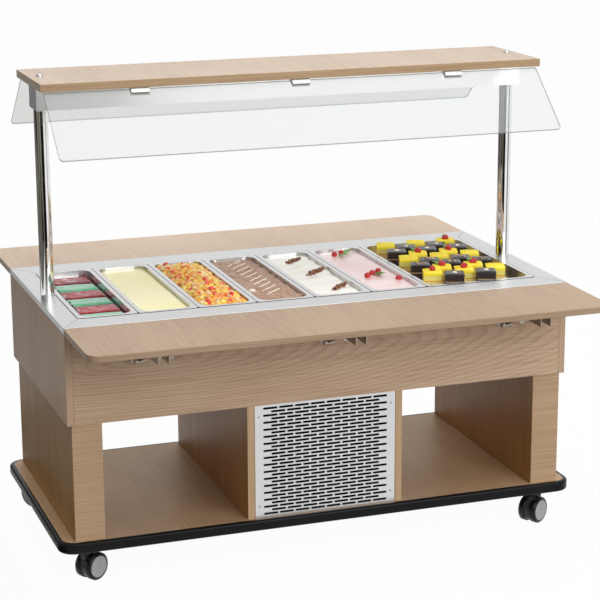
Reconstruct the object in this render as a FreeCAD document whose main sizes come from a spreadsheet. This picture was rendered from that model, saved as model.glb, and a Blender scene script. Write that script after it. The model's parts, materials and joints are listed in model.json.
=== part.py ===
import FreeCAD, Part
import math
import os
import Sketcher

# Mobile refrigerated salad bar, in millimetres: X along its length, -Y towards the guests in front,
# +Z up, with the origin on the floor under the middle of the deck.

document = FreeCAD.newDocument("mobile_salad_bar")
Vector = FreeCAD.Vector
Rotation = FreeCAD.Rotation
Placement = FreeCAD.Placement
Constraint = Sketcher.Constraint

sizes = {
    # deck with its bumper
    "deck_length": 1470, "deck_depth": 720, "deck_thick": 30, "deck_corner": 45,
    "bumper_thick": 12, "bumper_edge_round": 7,
    # casters
    "caster_height": 98, "caster_in_x": 80, "caster_in_y": 64, "caster_trail": 18,
    "caster_plate_side": 62, "caster_plate_corner": 6, "caster_plate_thick": 3, "swivel_cup_round": 20,
    "swivel_cup_deep": 9, "boss_round": 14, "boss_lift": 1, "cap_step": 0.8,
    "swivel_stem_round": 5, "running_gap": 0.05, "side_gap": 0.3,
    "wheel_round": 37.5, "wheel_wide": 20, "wheel_cap_round": 28.5, "tyre_bevel": 3.5,
    "hood_wide": 15, "hood_round": 34.5, "axle_round": 4, "front_caster_turn": -57.5, "rear_caster_turn": 28,
    # cabinet
    "board_thick": 20, "facing_thick": 18, "leg_height": 317, "leg_length": 1385, "leg_wide": 80,
    "leg_depth": 684, "partition_span": 442, "batten_side": 18,
    "body_length": 1410, "body_depth": 694, "body_high": 260, "floor_board_thick": 18,
    # air grilles
    "grille_gap": 1, "grille_sheet": 1.5, "slot_long": 39, "slot_high": 4.5, "slot_pitch": 44.7,
    "slot_row_pitch": 9.85, "slot_rows": 31, "slots_in_long_row": 8, "grille_screw_in": 12,
    "grille_screw_up": 32, "grille_screw_hole": 4.5, "rear_slot_rows": 19,
    "controller_wide": 71, "controller_high": 29, "controller_deep": 60, "controller_bezel": 2,
    "controller_lip": 3.5, "controller_x": -60, "switch_wide": 13, "switch_high": 17, "switch_x": 60,
    "switch_wall": 2.2, "switch_lip": 2, "switch_deep": 16, "control_drop": 42, "rocker_front": 5,
    "rocker_bend": 2, "rocker_back": 3, "rocker_pin_round": 1.5, "rocker_pin_long": 1.5, "switch_face": 2,
    # counter, well and pans
    "counter_sheet": 1.5, "skirt_high": 15, "pan_pitch": 162.5, "pan_count": 6, "pan_long": 530,
    "pan_side_gap": 0.5, "well_gap": 1, "well_gap_deep": 3, "ledge_wide": 12.5, "ledge_drop": 4,
    "tub_deep": 125, "tub_sheet": 1.5, "tub_corner": 30, "drain_round": 11, "drain_wall": 2,
    "case_gap": 0.5, "bar_wide": 20, "bar_high": 12, "bar_sheet": 1.5,
    "pan_rim_high": 4.5, "pan_rim_corner": 14, "pan_overhang": 12, "pan_corner": 30, "pan_sheet": 1,
    "pan_deep": 65, "cake_pan_deep": 40, "pan_draft": 3, "pan_heel": 9, "filling_gap": 0.3,
    "filling_drop": 7, "filling_crown": 3, "slice_long": 62, "slice_pitch": 76, "slice_high": 34,
    "slice_wide": 108, "slice_count": 6,
    "cake_pitch_x": 48, "cake_pitch_y": 44, "cake_long": 55, "cake_wide": 50, "cake_high": 47,
    "cake_columns": 5, "cake_rows": 5, "cake_shift_x": -6,
    # upper structure
    "post_x": 671, "post_round": 19, "post_wall": 1.5, "post_stud_long": 20, "stud_gap": 0.3,
    "rod_round": 5, "light_box_floor": 507,
    "light_box_high": 64, "light_box_length": 1382, "light_box_depth": 92, "light_box_sheet": 2,
    "diffuser_length": 1260, "diffuser_wide": 52, "diffuser_thick": 4, "diffuser_flange": 6,
    "overshelf_length": 1402, "overshelf_depth": 307, "overshelf_thick": 21, "board_ease": 1, "cap_round": 9,
    "cap_high": 10, "cap_sunk": 2, "rod_in_cap": 4,
    "glass_length": 1384, "glass_thick": 5, "glass_top_out": 144, "glass_drop": 149, "glass_reach": 171,
    "glass_corner": 12, "glass_head_gap": 4, "clamp_pitch": 440, "clamp_long": 50, "clamp_jaw": 4,
    "clamp_grip": 16, "clamp_base_wide": 46,
    # folding shelves and their consoles
    "shelf_depth": 268, "shelf_thick": 18, "shelf_drop": 1, "shelf_gap": 0.8, "shelf_corner": 32,
    "console_pitch": 515, "hinge_out": 18, "hinge_below_board": 13, "hinge_pin_round": 4,
    "strut_pivot_drop": 65, "strut_reach": 150, "arm_wide": 30, "arm_sheet": 2, "arm_deep": 25,
    "arm_reach": 240, "ear_gap": 0.5, "ear_sheet": 2.5, "ear_round": 9, "wall_plate_thick": 3,
    "wall_plate_wide": 40, "strut_wide": 10, "strut_sheet": 6, "roller_round": 5.5, "roller_wide": 20,
    "strut_eye_round": 8, "hinge_leaf_x": 71, "hinge_leaf_wide": 50, "hinge_foot_wide": 17,
    "hinge_foot_long": 24, "knuckle_round": 8, "knuckle_long": 22, "leaf_long": 40, "pin_tail": 2,
    # cooling unit
    "compressor_x": 70, "compressor_y": 120, "compressor_round": 72, "compressor_high": 165,
    "compressor_seam": 3, "terminal_out": 18, "terminal_wide": 60, "terminal_high": 70,
    "compressor_foot_side": 190, "compressor_foot_thick": 4, "rubber_foot_high": 14, "rubber_foot_round": 13,
    "coil_wide": 250, "coil_high": 230, "coil_deep": 44, "coil_setback": 62, "coil_lift": 30,
    "fin_count": 14, "fin_edge": 10, "fin_deep": 5, "strap_thick": 3, "shroud_deep": 60, "shroud_sheet": 2,
    "fan_round": 96, "fan_tip_gap": 5, "fan_hub_round": 22, "fan_hub_deep": 22, "fan_blades": 5,
    "fan_blade_thick": 2, "fan_root_chord": 30, "fan_tip_chord": 46, "fan_root_pitch": 50,
    "fan_tip_pitch": 66, "fan_setback": 14,
    "fan_motor_round": 30, "fan_motor_long": 50, "fan_shaft_round": 4, "motor_strap_wide": 14,
}

sheet = document.addObject("Spreadsheet::Sheet", "Sizes")
for row, (name, number) in enumerate(sizes.items(), start=1):
    sheet.set(f"A{row}", name)
    sheet.set(f"B{row}", str(number))
    sheet.setAlias(f"B{row}", name)
document.recompute()


def size(name):
    return float(sheet.get(name))


levels = document.addObject("App::VarSet", "Levels")


def level(name, expression):
    # a height or place that follows from the sheet, used by name in other expressions
    levels.addProperty("App::PropertyFloat", name, "Levels")
    levels.setExpression(name, expression)


level("caster_x", "Sizes.deck_length / 2 - Sizes.caster_in_x")
level("caster_y", "Sizes.deck_depth / 2 - Sizes.caster_in_y")
level("deck_top", "Sizes.caster_height + Sizes.deck_thick")
level("body_low", "Levels.deck_top + Sizes.leg_height")
level("counter_top", "Levels.body_low + Sizes.body_high")
level("panel_top", "Levels.counter_top - Sizes.skirt_high")
level("case_low", "Levels.body_low + Sizes.floor_board_thick")
level("ledge_top", "Levels.counter_top - Sizes.ledge_drop")
level("big_pan_wide", "2 * Sizes.pan_pitch")
level("pans_length", "Sizes.pan_count * Sizes.pan_pitch + Levels.big_pan_wide")
level("well_length", "Levels.pans_length + 2 * Sizes.well_gap")
level("well_depth", "Sizes.pan_long + 2 * Sizes.well_gap_deep")
level("tub_length", "Levels.well_length - 2 * Sizes.ledge_wide")
level("tub_depth", "Levels.well_depth - 2 * Sizes.ledge_wide")
level("pan_top", "Levels.ledge_top + Sizes.pan_rim_high")
level("grille_wide", "Sizes.partition_span - 2 * Sizes.board_thick - 2 * Sizes.grille_gap")
level("grille_high", "Sizes.leg_height - 2 * Sizes.grille_gap")
level("light_box_low", "Levels.counter_top + Sizes.light_box_floor")
level("overshelf_low", "Levels.light_box_low + Sizes.light_box_high")
level("overshelf_top", "Levels.overshelf_low + Sizes.overshelf_thick")
level("shelf_top", "Levels.counter_top - Sizes.shelf_drop")
level("shelf_low", "Levels.shelf_top - Sizes.shelf_thick")
level("hinge_z", "Levels.shelf_low - Sizes.hinge_below_board")
level("hinge_y", "Sizes.body_depth / 2 + Sizes.hinge_out")
level("pivot_z", "Levels.hinge_z - Sizes.strut_pivot_drop")
level("cup_low", "Sizes.caster_height - Sizes.caster_plate_thick - Sizes.swivel_cup_deep")
level("glass_long", "sqrt(Sizes.glass_drop ^ 2 + Sizes.glass_reach ^ 2)")
level("glass_cos", "Sizes.glass_reach / Levels.glass_long")
level("glass_sin", "Sizes.glass_drop / Levels.glass_long")
level("strut_long", "sqrt(Sizes.strut_reach ^ 2 + Sizes.strut_pivot_drop ^ 2)")
level("strut_cos", "Sizes.strut_reach / Levels.strut_long")
level("strut_sin", "Sizes.strut_pivot_drop / Levels.strut_long")
level("control_z", "Levels.body_low - Sizes.control_drop")
level("rocker_sweep", "sqrt(Sizes.rocker_front ^ 2 + (Sizes.switch_high / 2) ^ 2) + Sizes.side_gap")
level("coil_front", "-Sizes.leg_depth / 2 + Sizes.coil_setback")
level("coil_back", "Levels.coil_front + Sizes.coil_deep")
level("shroud_back", "Levels.coil_back + Sizes.shroud_deep")
level("fan_z", "Levels.deck_top + Sizes.coil_lift + Sizes.coil_high / 2")
document.recompute()

pieces = {}


def keep(piece, label):
    # the finished piece, whose label names its file
    piece.Label = label
    pieces[label] = piece
    return piece


def bind(piece, **expressions):
    for name, expression in expressions.items():
        piece.setExpression(name.replace("__", "."), expression)
    return piece


def place(piece, x="0", y="0", z="0"):
    piece.setExpression("Placement.Base.x", x)
    piece.setExpression("Placement.Base.y", y)
    piece.setExpression("Placement.Base.z", z)
    return piece


def box(name, long, deep, high, x, y, z):
    # a block given by its size and the middle of its underside
    block = document.addObject("Part::Box", name)
    bind(block, Length=long, Width=deep, Height=high)
    return place(block, f"({x}) - ({long}) / 2", f"({y}) - ({deep}) / 2", z)


def cylinder(name, round_expression, high, x, y, z, axis=None):
    rod = document.addObject("Part::Cylinder", name)
    bind(rod, Radius=round_expression, Height=high)
    if axis is not None:
        rod.Placement = Placement(Vector(), Rotation(Vector(0, 0, 1), axis))
    return place(rod, x, y, z)


def group(label, members):
    # several separate solids that make one named piece
    together = document.addObject("Part::Compound", label)
    together.Links = members
    return keep(together, label)


def cut(name, base, tool):
    result = document.addObject("Part::Cut", name)
    result.Base = base
    result.Tool = tool
    return result


def common(name, base, tool):
    result = document.addObject("Part::Common", name)
    result.Base = base
    result.Tool = tool
    return result


def fuse(name, members):
    result = document.addObject("Part::MultiFuse", name)
    result.Shapes = members
    return result


def body(label):
    return document.addObject("PartDesign::Body", label)


def sketch(owner, name, role="XY_Plane", height="0"):
    drawing = owner.newObject("Sketcher::SketchObject", name)
    base = [feature for feature in owner.Origin.OriginFeatures if feature.Role == role][0]
    drawing.AttachmentSupport = [(base, "")]
    drawing.MapMode = "FlatFace"
    drawing.setExpression("AttachmentOffset.Base.z", height)
    return drawing


def rounded_loop(drawing, tag, wide, long, corner):
    # a rectangle with round corners about the sketch's origin
    first = drawing.GeometryCount
    a, b, c = 50, 30, 5
    runs = [((c - a, -b), (a - c, -b)), ((a, c - b), (a, b - c)),
            ((a - c, b), (c - a, b)), ((-a, b - c), (-a, c - b))]
    for start, end in runs:
        drawing.addGeometry(Part.LineSegment(Vector(*start), Vector(*end)))
    corners = [(a - c, c - b, -90), (a - c, b - c, 0), (c - a, b - c, 90), (c - a, c - b, 180)]
    for x, y, angle in corners:
        circle = Part.Circle(Vector(x, y), Vector(0, 0, 1), c)
        drawing.addGeometry(Part.ArcOfCircle(circle, math.radians(angle), math.radians(angle + 90)))
    order = [first + step for step in (0, 4, 1, 5, 2, 6, 3, 7)]
    rules = [Constraint("Tangent", one, 2, two, 1) for one, two in zip(order, order[1:] + order[:1])]
    rules += [Constraint("Horizontal", first), Constraint("Horizontal", first + 2)]
    rules += [Constraint("Vertical", first + 1), Constraint("Vertical", first + 3)]
    rules += [Constraint("Equal", first + 4, first + other) for other in (5, 6, 7)]
    rules += [Constraint("Symmetric", first + 4, 3, first + 6, 3, -1, 1)]
    drawing.addConstraint(rules)
    driven(drawing, tag + "_wide", Constraint("DistanceX", first + 3, 1, first + 1, 1, 2 * a), wide)
    driven(drawing, tag + "_long", Constraint("DistanceY", first, 1, first + 2, 1, 2 * b), long)
    driven(drawing, tag + "_corner", Constraint("Radius", first + 4, c), corner)


def driven(drawing, name, rule, expression):
    index = drawing.addConstraint(rule)
    drawing.renameConstraint(index, name)
    drawing.setExpression("Constraints." + name, expression)


def polygon(drawing, tag, points):
    # straight sides through points whose coordinates are expressions
    first = drawing.GeometryCount
    count = len(points)
    turn = -2 * math.pi / count
    ring = [Vector(20 + 10 * math.cos(turn * step), 10 * math.sin(turn * step)) for step in range(count)]
    for step in range(count):
        drawing.addGeometry(Part.LineSegment(ring[step], ring[(step + 1) % count]))
    joints = [Constraint("Coincident", first + step, 2, first + (step + 1) % count, 1)
              for step in range(count)]
    drawing.addConstraint(joints)
    for step, (x, y) in enumerate(points):
        driven(drawing, f"{tag}_x{step}", Constraint("DistanceX", -1, 1, first + step, 1, ring[step].x), x)
        driven(drawing, f"{tag}_y{step}", Constraint("DistanceY", -1, 1, first + step, 1, ring[step].y), y)


def circle_loop(drawing, tag, x, y, round_expression):
    index = drawing.addGeometry(Part.Circle(Vector(5, 5), Vector(0, 0, 1), 3))
    driven(drawing, tag + "_x", Constraint("DistanceX", -1, 1, index, 3, 5), x)
    driven(drawing, tag + "_y", Constraint("DistanceY", -1, 1, index, 3, 5), y)
    driven(drawing, tag + "_r", Constraint("Radius", index, 3), round_expression)


def pad(owner, name, drawing, length, down=False, draft=None, middle=False):
    feature = owner.newObject("PartDesign::Pad", name)
    feature.Profile = drawing
    feature.Reversed = down
    if middle:
        feature.SideType = "Symmetric"
    feature.setExpression("Length", length)
    if draft is not None:
        feature.setExpression("TaperAngle", draft)
    return feature


def pocket(owner, name, drawing, length, up=False, draft=None):
    feature = owner.newObject("PartDesign::Pocket", name)
    feature.Profile = drawing
    feature.Reversed = up
    feature.setExpression("Length", length)
    if draft is not None:
        feature.setExpression("TaperAngle", draft)
    return feature


def revolve(owner, name, drawing, axis="V_Axis"):
    feature = owner.newObject("PartDesign::Revolution", name)
    feature.Profile = drawing
    feature.ReferenceAxis = (drawing, [axis])
    feature.Angle = 360
    return feature


def edges_where(feature, test):
    # names of the feature's edges that pass the test
    document.recompute()
    return [f"Edge{index}" for index, edge in enumerate(feature.Shape.Edges, start=1) if test(edge)]


def ease(owner, name, feature, edges, amount, bevel=False):
    kind, measure = ("PartDesign::Chamfer", "Size") if bevel else ("PartDesign::Fillet", "Radius")
    eased = owner.newObject(kind, name)
    eased.Base = (feature, edges)
    eased.setExpression(measure, amount)
    return eased


def at_height(height):
    return lambda edge: all(abs(point.Point.z - height) < 0.01 for point in edge.Vertexes)


# ---------------------------------------------------------------- deck and bumper


def make_deck():
    inner_length = "Sizes.deck_length - 2 * Sizes.bumper_thick"
    inner_depth = "Sizes.deck_depth - 2 * Sizes.bumper_thick"
    inner_corner = "Sizes.deck_corner - Sizes.bumper_thick"
    board = body("deck_board")
    outline = sketch(board, "deck_outline")
    rounded_loop(outline, "deck", inner_length, inner_depth, inner_corner)
    pad(board, "deck_pad", outline, "Sizes.deck_thick")
    keep(place(board, z="Sizes.caster_height"), "deck_board")

    edging = body("deck_bumper")
    ring = sketch(edging, "bumper_ring")
    rounded_loop(ring, "outer", "Sizes.deck_length", "Sizes.deck_depth", "Sizes.deck_corner")
    rounded_loop(ring, "inner", inner_length, inner_depth, inner_corner)
    band = pad(edging, "bumper_pad", ring, "Sizes.deck_thick")
    reach = size("deck_depth") / 2 - size("bumper_thick") / 2
    span = size("deck_length") / 2 - size("bumper_thick") / 2

    def outside(edge):
        box_of_edge = edge.BoundBox
        flat = box_of_edge.ZLength < 0.01
        middle = edge.valueAt((edge.FirstParameter + edge.LastParameter) / 2)
        corner = size("deck_corner")
        over_x = max(abs(middle.x) - (size("deck_length") / 2 - corner), 0)
        over_y = max(abs(middle.y) - (size("deck_depth") / 2 - corner), 0)
        if over_x > 0 and over_y > 0:
            return flat and math.hypot(over_x, over_y) > corner - size("bumper_thick") / 2
        return flat and (abs(middle.x) > span or abs(middle.y) > reach)

    ease(edging, "bumper_round", band, edges_where(band, outside), "Sizes.bumper_edge_round")
    keep(place(edging, z="Sizes.caster_height"), "deck_bumper")


# ---------------------------------------------------------------- legs, partitions, grilles


def make_leg(label, side):
    # four boards glued into an upright box: wide facings to front and back, two sides between them
    outer = f"{side} * Sizes.leg_length / 2"
    middle = f"{side} * (Sizes.leg_length - Sizes.leg_wide) / 2"
    inner = f"{side} * (Sizes.leg_length / 2 - Sizes.leg_wide)"
    side_depth = "Sizes.leg_depth - 2 * Sizes.facing_thick"
    facing_y = "(Sizes.leg_depth - Sizes.facing_thick) / 2"
    half = "Sizes.facing_thick / 2"
    boards = []
    for name, end in (("front", "-"), ("rear", "")):
        boards.append(box(f"{label}_{name}", "Sizes.leg_wide", "Sizes.facing_thick", "Sizes.leg_height",
                          middle, f"{end}({facing_y})", "Levels.deck_top"))
    for name, at in (("outside", f"{outer} - {side} * {half}"), ("inside", f"{inner} + {side} * {half}")):
        boards.append(box(f"{label}_{name}", "Sizes.facing_thick", side_depth, "Sizes.leg_height",
                          at, "0", "Levels.deck_top"))
    group(label, boards)


def make_partition(label, side):
    # an upright board with a batten behind each grille for its screws
    board_x = f"{side} * (Sizes.partition_span - Sizes.board_thick) / 2"
    batten_x = f"{side} * (Sizes.partition_span / 2 - Sizes.board_thick - Sizes.batten_side / 2)"
    batten_y = "(Sizes.leg_depth / 2 - Sizes.grille_sheet - Sizes.batten_side / 2)"
    members = [box(f"{label}_board", "Sizes.board_thick", "Sizes.leg_depth", "Sizes.leg_height",
                   board_x, "0", "Levels.deck_top")]
    for name, end in (("front", "-"), ("rear", "")):
        members.append(box(f"{label}_{name}_batten", "Sizes.batten_side", "Sizes.batten_side",
                           "Sizes.leg_height", batten_x, f"{end}{batten_y}", "Levels.deck_top"))
    group(label, members)


def rectangle_wire(x, z, wide, high):
    a, b = wide / 2, high / 2
    corners = [Vector(x + across * a, 0, z + up * b) for across, up in ((-1, -1), (1, -1), (1, 1), (-1, 1))]
    return Part.makePolygon(corners + corners[:1])


def grille_sheet(rows, cutouts):
    # an upright steel sheet about its middle, with rows of slots counted up from below, each second
    # row one slot shorter and shifted by half a pitch
    wide, high = levels.grille_wide, levels.grille_high
    pitch = size("slot_pitch")
    row_pitch = size("slot_row_pitch")
    low = -(size("slot_rows") - 1) / 2 * row_pitch
    holes = []
    for row in range(rows):
        count = int(size("slots_in_long_row")) - row % 2
        for index in range(count):
            x = (index - (count - 1) / 2) * pitch
            holes.append(rectangle_wire(x, low + row * row_pitch, size("slot_long"), size("slot_high")))
    screw_x = wide / 2 - size("grille_screw_in")
    screw_z = high / 2 - size("grille_screw_up")
    for x in (-screw_x, screw_x):
        for z in (-screw_z, screw_z):
            circle = Part.Circle(Vector(x, 0, z), Vector(0, 1, 0), size("grille_screw_hole") / 2)
            holes.append(Part.Wire([circle.toShape()]))
    holes += cutouts
    face = Part.Face([rectangle_wire(0, 0, wide, high)] + holes, "Part::FaceMakerBullseye")
    return face.extrude(Vector(0, size("grille_sheet"), 0))


def make_grilles():
    middle_z = (levels.deck_top + levels.body_low) / 2
    front = document.addObject("Part::Feature", "front_grille")
    front.Shape = grille_sheet(int(size("slot_rows")), [])
    front.Placement = Placement(Vector(0, -size("leg_depth") / 2, middle_z), Rotation())
    keep(front, "front_grille")
    control_z = levels.control_z - middle_z
    gap = size("side_gap")
    switch_wide = size("switch_wide") + 2 * (size("side_gap") + size("switch_wall"))
    switch_high = 2 * (levels.rocker_sweep + size("switch_wall"))
    windows = [rectangle_wire(size("controller_x"), control_z, size("controller_wide") + gap,
                              size("controller_high") + gap),
               rectangle_wire(size("switch_x"), control_z, switch_wide + gap, switch_high + gap)]
    rear = document.addObject("Part::Feature", "rear_grille")
    rear.Shape = grille_sheet(int(size("rear_slot_rows")), windows)
    rear.Placement = Placement(Vector(0, size("leg_depth") / 2 - size("grille_sheet"), middle_z), Rotation())
    keep(rear, "rear_grille")


# ---------------------------------------------------------------- upper body


def make_upper_body():
    panel_high = "Levels.panel_top - Levels.body_low"
    end_x = "(Sizes.body_length - Sizes.board_thick) / 2"
    inner_length = "Sizes.body_length - 2 * Sizes.board_thick"
    apron_y = "(Sizes.body_depth - Sizes.facing_thick) / 2"
    inner_depth = "Sizes.body_depth - 2 * Sizes.facing_thick"
    for label, sign in (("left_end_panel", "-"), ("right_end_panel", "")):
        keep(box(label, "Sizes.board_thick", "Sizes.body_depth", panel_high, f"{sign}{end_x}", "0",
                 "Levels.body_low"), label)
    for label, sign in (("front_apron", "-"), ("rear_apron", "")):
        keep(box(label, inner_length, "Sizes.facing_thick", panel_high, "0", f"{sign}{apron_y}",
                 "Levels.body_low"), label)

    floor = body("body_floor")
    plan = sketch(floor, "floor_outline")
    polygon(plan, "edge", corner_points(inner_length, inner_depth))
    circle_loop(plan, "drain", "0", "0", "Sizes.drain_round + Sizes.case_gap")
    pad(floor, "floor_pad", plan, "Sizes.floor_board_thick")
    keep(place(floor, z="Levels.body_low"), "body_floor")

    # the foam case around the tub, with the shallow step that clears the counter's turned-down hem
    case = body("insulated_case")
    plan = sketch(case, "case_outline")
    polygon(plan, "edge", corner_points(inner_length, inner_depth))
    pad(case, "case_pad", plan, "Levels.counter_top - Sizes.counter_sheet - Levels.case_low")
    top = "Levels.counter_top - Sizes.counter_sheet - Levels.case_low"
    hem = "2 * Sizes.counter_sheet + 2 * Sizes.case_gap"
    step = sketch(case, "step_outline", height=top)
    rounded_loop(step, "step", f"Levels.well_length + {hem}", f"Levels.well_depth + {hem}",
                 "Sizes.pan_rim_corner + Sizes.counter_sheet + Sizes.case_gap")
    pocket(case, "step_pocket", step, "Sizes.skirt_high - Sizes.counter_sheet + Sizes.case_gap")
    wall = "2 * Sizes.tub_sheet + 2 * Sizes.case_gap"
    well = sketch(case, "well_outline", height=top)
    rounded_loop(well, "well", f"Levels.tub_length + {wall}", f"Levels.tub_depth + {wall}",
                 "Sizes.tub_corner + Sizes.tub_sheet + Sizes.case_gap")
    pocket(case, "well_pocket", well,
           "Sizes.tub_deep + Sizes.tub_sheet + Sizes.ledge_drop - Sizes.counter_sheet")
    holes = sketch(case, "hole_plan", height=top)
    circle_loop(holes, "left_rod", "-Sizes.post_x", "0", "Sizes.rod_round + Sizes.stud_gap")
    circle_loop(holes, "right_rod", "Sizes.post_x", "0", "Sizes.rod_round + Sizes.stud_gap")
    pocket(case, "stud_pockets", holes, "Sizes.post_stud_long")
    drain = sketch(case, "drain_plan", height=top)
    circle_loop(drain, "drain", "0", "0", "Sizes.drain_round + Sizes.case_gap")
    pocket(case, "drain_pocket", drain, top)
    keep(place(case, z="Levels.case_low"), "insulated_case")


def corner_points(long, deep):
    return [(f"-({long}) / 2", f"-({deep}) / 2"), (f"({long}) / 2", f"-({deep}) / 2"),
            (f"({long}) / 2", f"({deep}) / 2"), (f"-({long}) / 2", f"({deep}) / 2")]


def make_counter():
    # folded steel: a flat top, a skirt all round and a hem turned down around the well
    counter = body("worktop")
    plan = sketch(counter, "counter_outline")
    polygon(plan, "edge", corner_points("Sizes.body_length", "Sizes.body_depth"))
    pad(counter, "counter_pad", plan, "Sizes.skirt_high", down=True)
    under = sketch(counter, "under_outline", height="-Sizes.skirt_high")
    polygon(under, "skirt", corner_points("Sizes.body_length - 2 * Sizes.counter_sheet",
                                          "Sizes.body_depth - 2 * Sizes.counter_sheet"))
    rounded_loop(under, "hem", "Levels.well_length + 2 * Sizes.counter_sheet",
                 "Levels.well_depth + 2 * Sizes.counter_sheet", "Sizes.pan_rim_corner + Sizes.counter_sheet")
    pocket(counter, "under_pocket", under, "Sizes.skirt_high - Sizes.counter_sheet", up=True)
    opening = sketch(counter, "well_opening")
    rounded_loop(opening, "well", "Levels.well_length", "Levels.well_depth", "Sizes.pan_rim_corner")
    circle_loop(opening, "left_rod", "-Sizes.post_x", "0", "Sizes.rod_round + Sizes.stud_gap")
    circle_loop(opening, "right_rod", "Sizes.post_x", "0", "Sizes.rod_round + Sizes.stud_gap")
    pocket(counter, "well_cut", opening, "Sizes.skirt_high")
    keep(place(counter, z="Levels.counter_top"), "worktop")

    # the tub is welded up from long walls, end walls, rounded corners and a floor with its drain pipe
    tub = body("tub_form")
    rim = sketch(tub, "tub_rim")
    rounded_loop(rim, "rim", "Levels.well_length", "Levels.well_depth", "Sizes.pan_rim_corner")
    pad(tub, "tub_flange", rim, "Sizes.tub_sheet", down=True)
    outside = sketch(tub, "tub_outside")
    rounded_loop(outside, "outside", "Levels.tub_length + 2 * Sizes.tub_sheet",
                 "Levels.tub_depth + 2 * Sizes.tub_sheet", "Sizes.tub_corner + Sizes.tub_sheet")
    pad(tub, "tub_trough", outside, "Sizes.tub_deep + Sizes.tub_sheet", down=True)
    spigot = sketch(tub, "drain_outside", height="-Sizes.tub_deep")
    circle_loop(spigot, "pipe", "0", "0", "Sizes.drain_round")
    pad(tub, "drain_pipe", spigot,
        "Levels.ledge_top - Sizes.tub_deep - Levels.body_low + Sizes.floor_board_thick / 2", down=True)
    inside = sketch(tub, "tub_inside")
    rounded_loop(inside, "inside", "Levels.tub_length", "Levels.tub_depth", "Sizes.tub_corner")
    pocket(tub, "tub_hollow", inside, "Sizes.tub_deep")
    bore = sketch(tub, "drain_inside")
    circle_loop(bore, "bore", "0", "0", "Sizes.drain_round - Sizes.drain_wall")
    pocket(tub, "drain_bore", bore, "Levels.ledge_top - Levels.body_low + Sizes.floor_board_thick")
    place(tub, z="Levels.ledge_top")
    pipe_low = "Levels.body_low - Sizes.floor_board_thick"
    floor_face = "Levels.ledge_top - Sizes.tub_deep"
    floor_zone = box("tub_floor_zone", "Levels.well_length", "Levels.well_depth",
                     f"({floor_face}) - ({pipe_low})", "0", "0", pipe_low)
    long_zone = box("tub_long_zone", "Levels.tub_length - 2 * Sizes.tub_corner", "Levels.well_depth",
                    "Sizes.tub_deep", "0", "0", floor_face)
    end_zone = box("tub_end_zone", "Levels.well_length", "Levels.tub_depth - 2 * Sizes.tub_corner",
                   "Sizes.tub_deep", "0", "0", floor_face)
    members = [common("tub_floor", tub, floor_zone), common("tub_long_walls", tub, long_zone),
               common("tub_end_walls", tub, end_zone),
               cut("tub_corners", tub, fuse("tub_zones", [floor_zone, long_zone, end_zone]))]
    group("well_tub", members)

    # inverted channels across the tub, level with the ledge, one under each joint between two pans
    bars = body("divider_bars")
    bars.AllowCompound = True
    section = sketch(bars, "bar_section", role="XZ_Plane", height="-Levels.tub_depth / 2")
    half = "Sizes.bar_wide / 2"
    inner = "(Sizes.bar_wide / 2 - Sizes.bar_sheet)"
    polygon(section, "bar", [(f"-{half}", "0"), (f"-{half}", "-Sizes.bar_high"),
                             (f"-{inner}", "-Sizes.bar_high"), (f"-{inner}", "-Sizes.bar_sheet"),
                             (inner, "-Sizes.bar_sheet"), (inner, "-Sizes.bar_high"),
                             (half, "-Sizes.bar_high"), (half, "0")])
    bar = pad(bars, "bar_pad", section, "Levels.tub_depth")
    row = bars.newObject("PartDesign::LinearPattern", "bar_row")
    row.Originals = [bar]
    row.Direction = (section, ["H_Axis"])
    row.Mode = "Spacing"
    row.setExpression("Offset", "Sizes.pan_pitch")
    row.setExpression("Occurrences", "Sizes.pan_count")
    bars.Tip = row
    keep(place(bars, x="-Levels.pans_length / 2 + Sizes.pan_pitch", z="Levels.ledge_top"), "divider_bars")


# ---------------------------------------------------------------- pans and their fillings


def make_pan(label, wide, deep, x):
    # a pressed steel pan: a flat rim with its edge turned down, and a drafted bowl with a bevelled heel
    pan = body(label)
    bowl_wide = f"{wide} - 2 * Sizes.pan_overhang"
    bowl_long = "Sizes.pan_long - 2 * Sizes.pan_overhang"
    rim = sketch(pan, label + "_rim")
    rounded_loop(rim, "rim", wide, "Sizes.pan_long", "Sizes.pan_rim_corner")
    pad(pan, label + "_rim_pad", rim, "Sizes.pan_rim_high", down=True)
    under = sketch(pan, label + "_rim_under", height="-Sizes.pan_rim_high")
    rounded_loop(under, "lip", f"{wide} - 2 * Sizes.pan_sheet", "Sizes.pan_long - 2 * Sizes.pan_sheet",
                 "Sizes.pan_rim_corner - Sizes.pan_sheet")
    pocket(pan, label + "_rim_hollow", under, "Sizes.pan_rim_high - Sizes.pan_sheet", up=True)
    outside = sketch(pan, label + "_outside")
    rounded_loop(outside, "bowl", bowl_wide, bowl_long, "Sizes.pan_corner")
    pad(pan, label + "_bowl", outside, deep, down=True, draft="-Sizes.pan_draft")
    inside = sketch(pan, label + "_inside")
    rounded_loop(inside, "hollow", f"{bowl_wide} - 2 * Sizes.pan_sheet", f"{bowl_long} - 2 * Sizes.pan_sheet",
                 "Sizes.pan_corner - Sizes.pan_sheet")
    hollow = pocket(pan, label + "_hollow", inside, f"{deep} - Sizes.pan_sheet", draft="-Sizes.pan_draft")
    inner_heel = bevel_foot(pan, label + "_inner_heel", hollow, size("pan_sheet"))
    bevel_foot(pan, label + "_heel", inner_heel)
    keep(place(pan, x=x, z="Levels.pan_top"), label)


def bevel_foot(owner, name, feature, above=0.0):
    # bevels the edges at the feature's lowest level, or at a height above it
    document.recompute()
    low = feature.Shape.BoundBox.ZMin + above
    return ease(owner, name, feature, edges_where(feature, at_height(low)), "Sizes.pan_heel", bevel=True)


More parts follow.
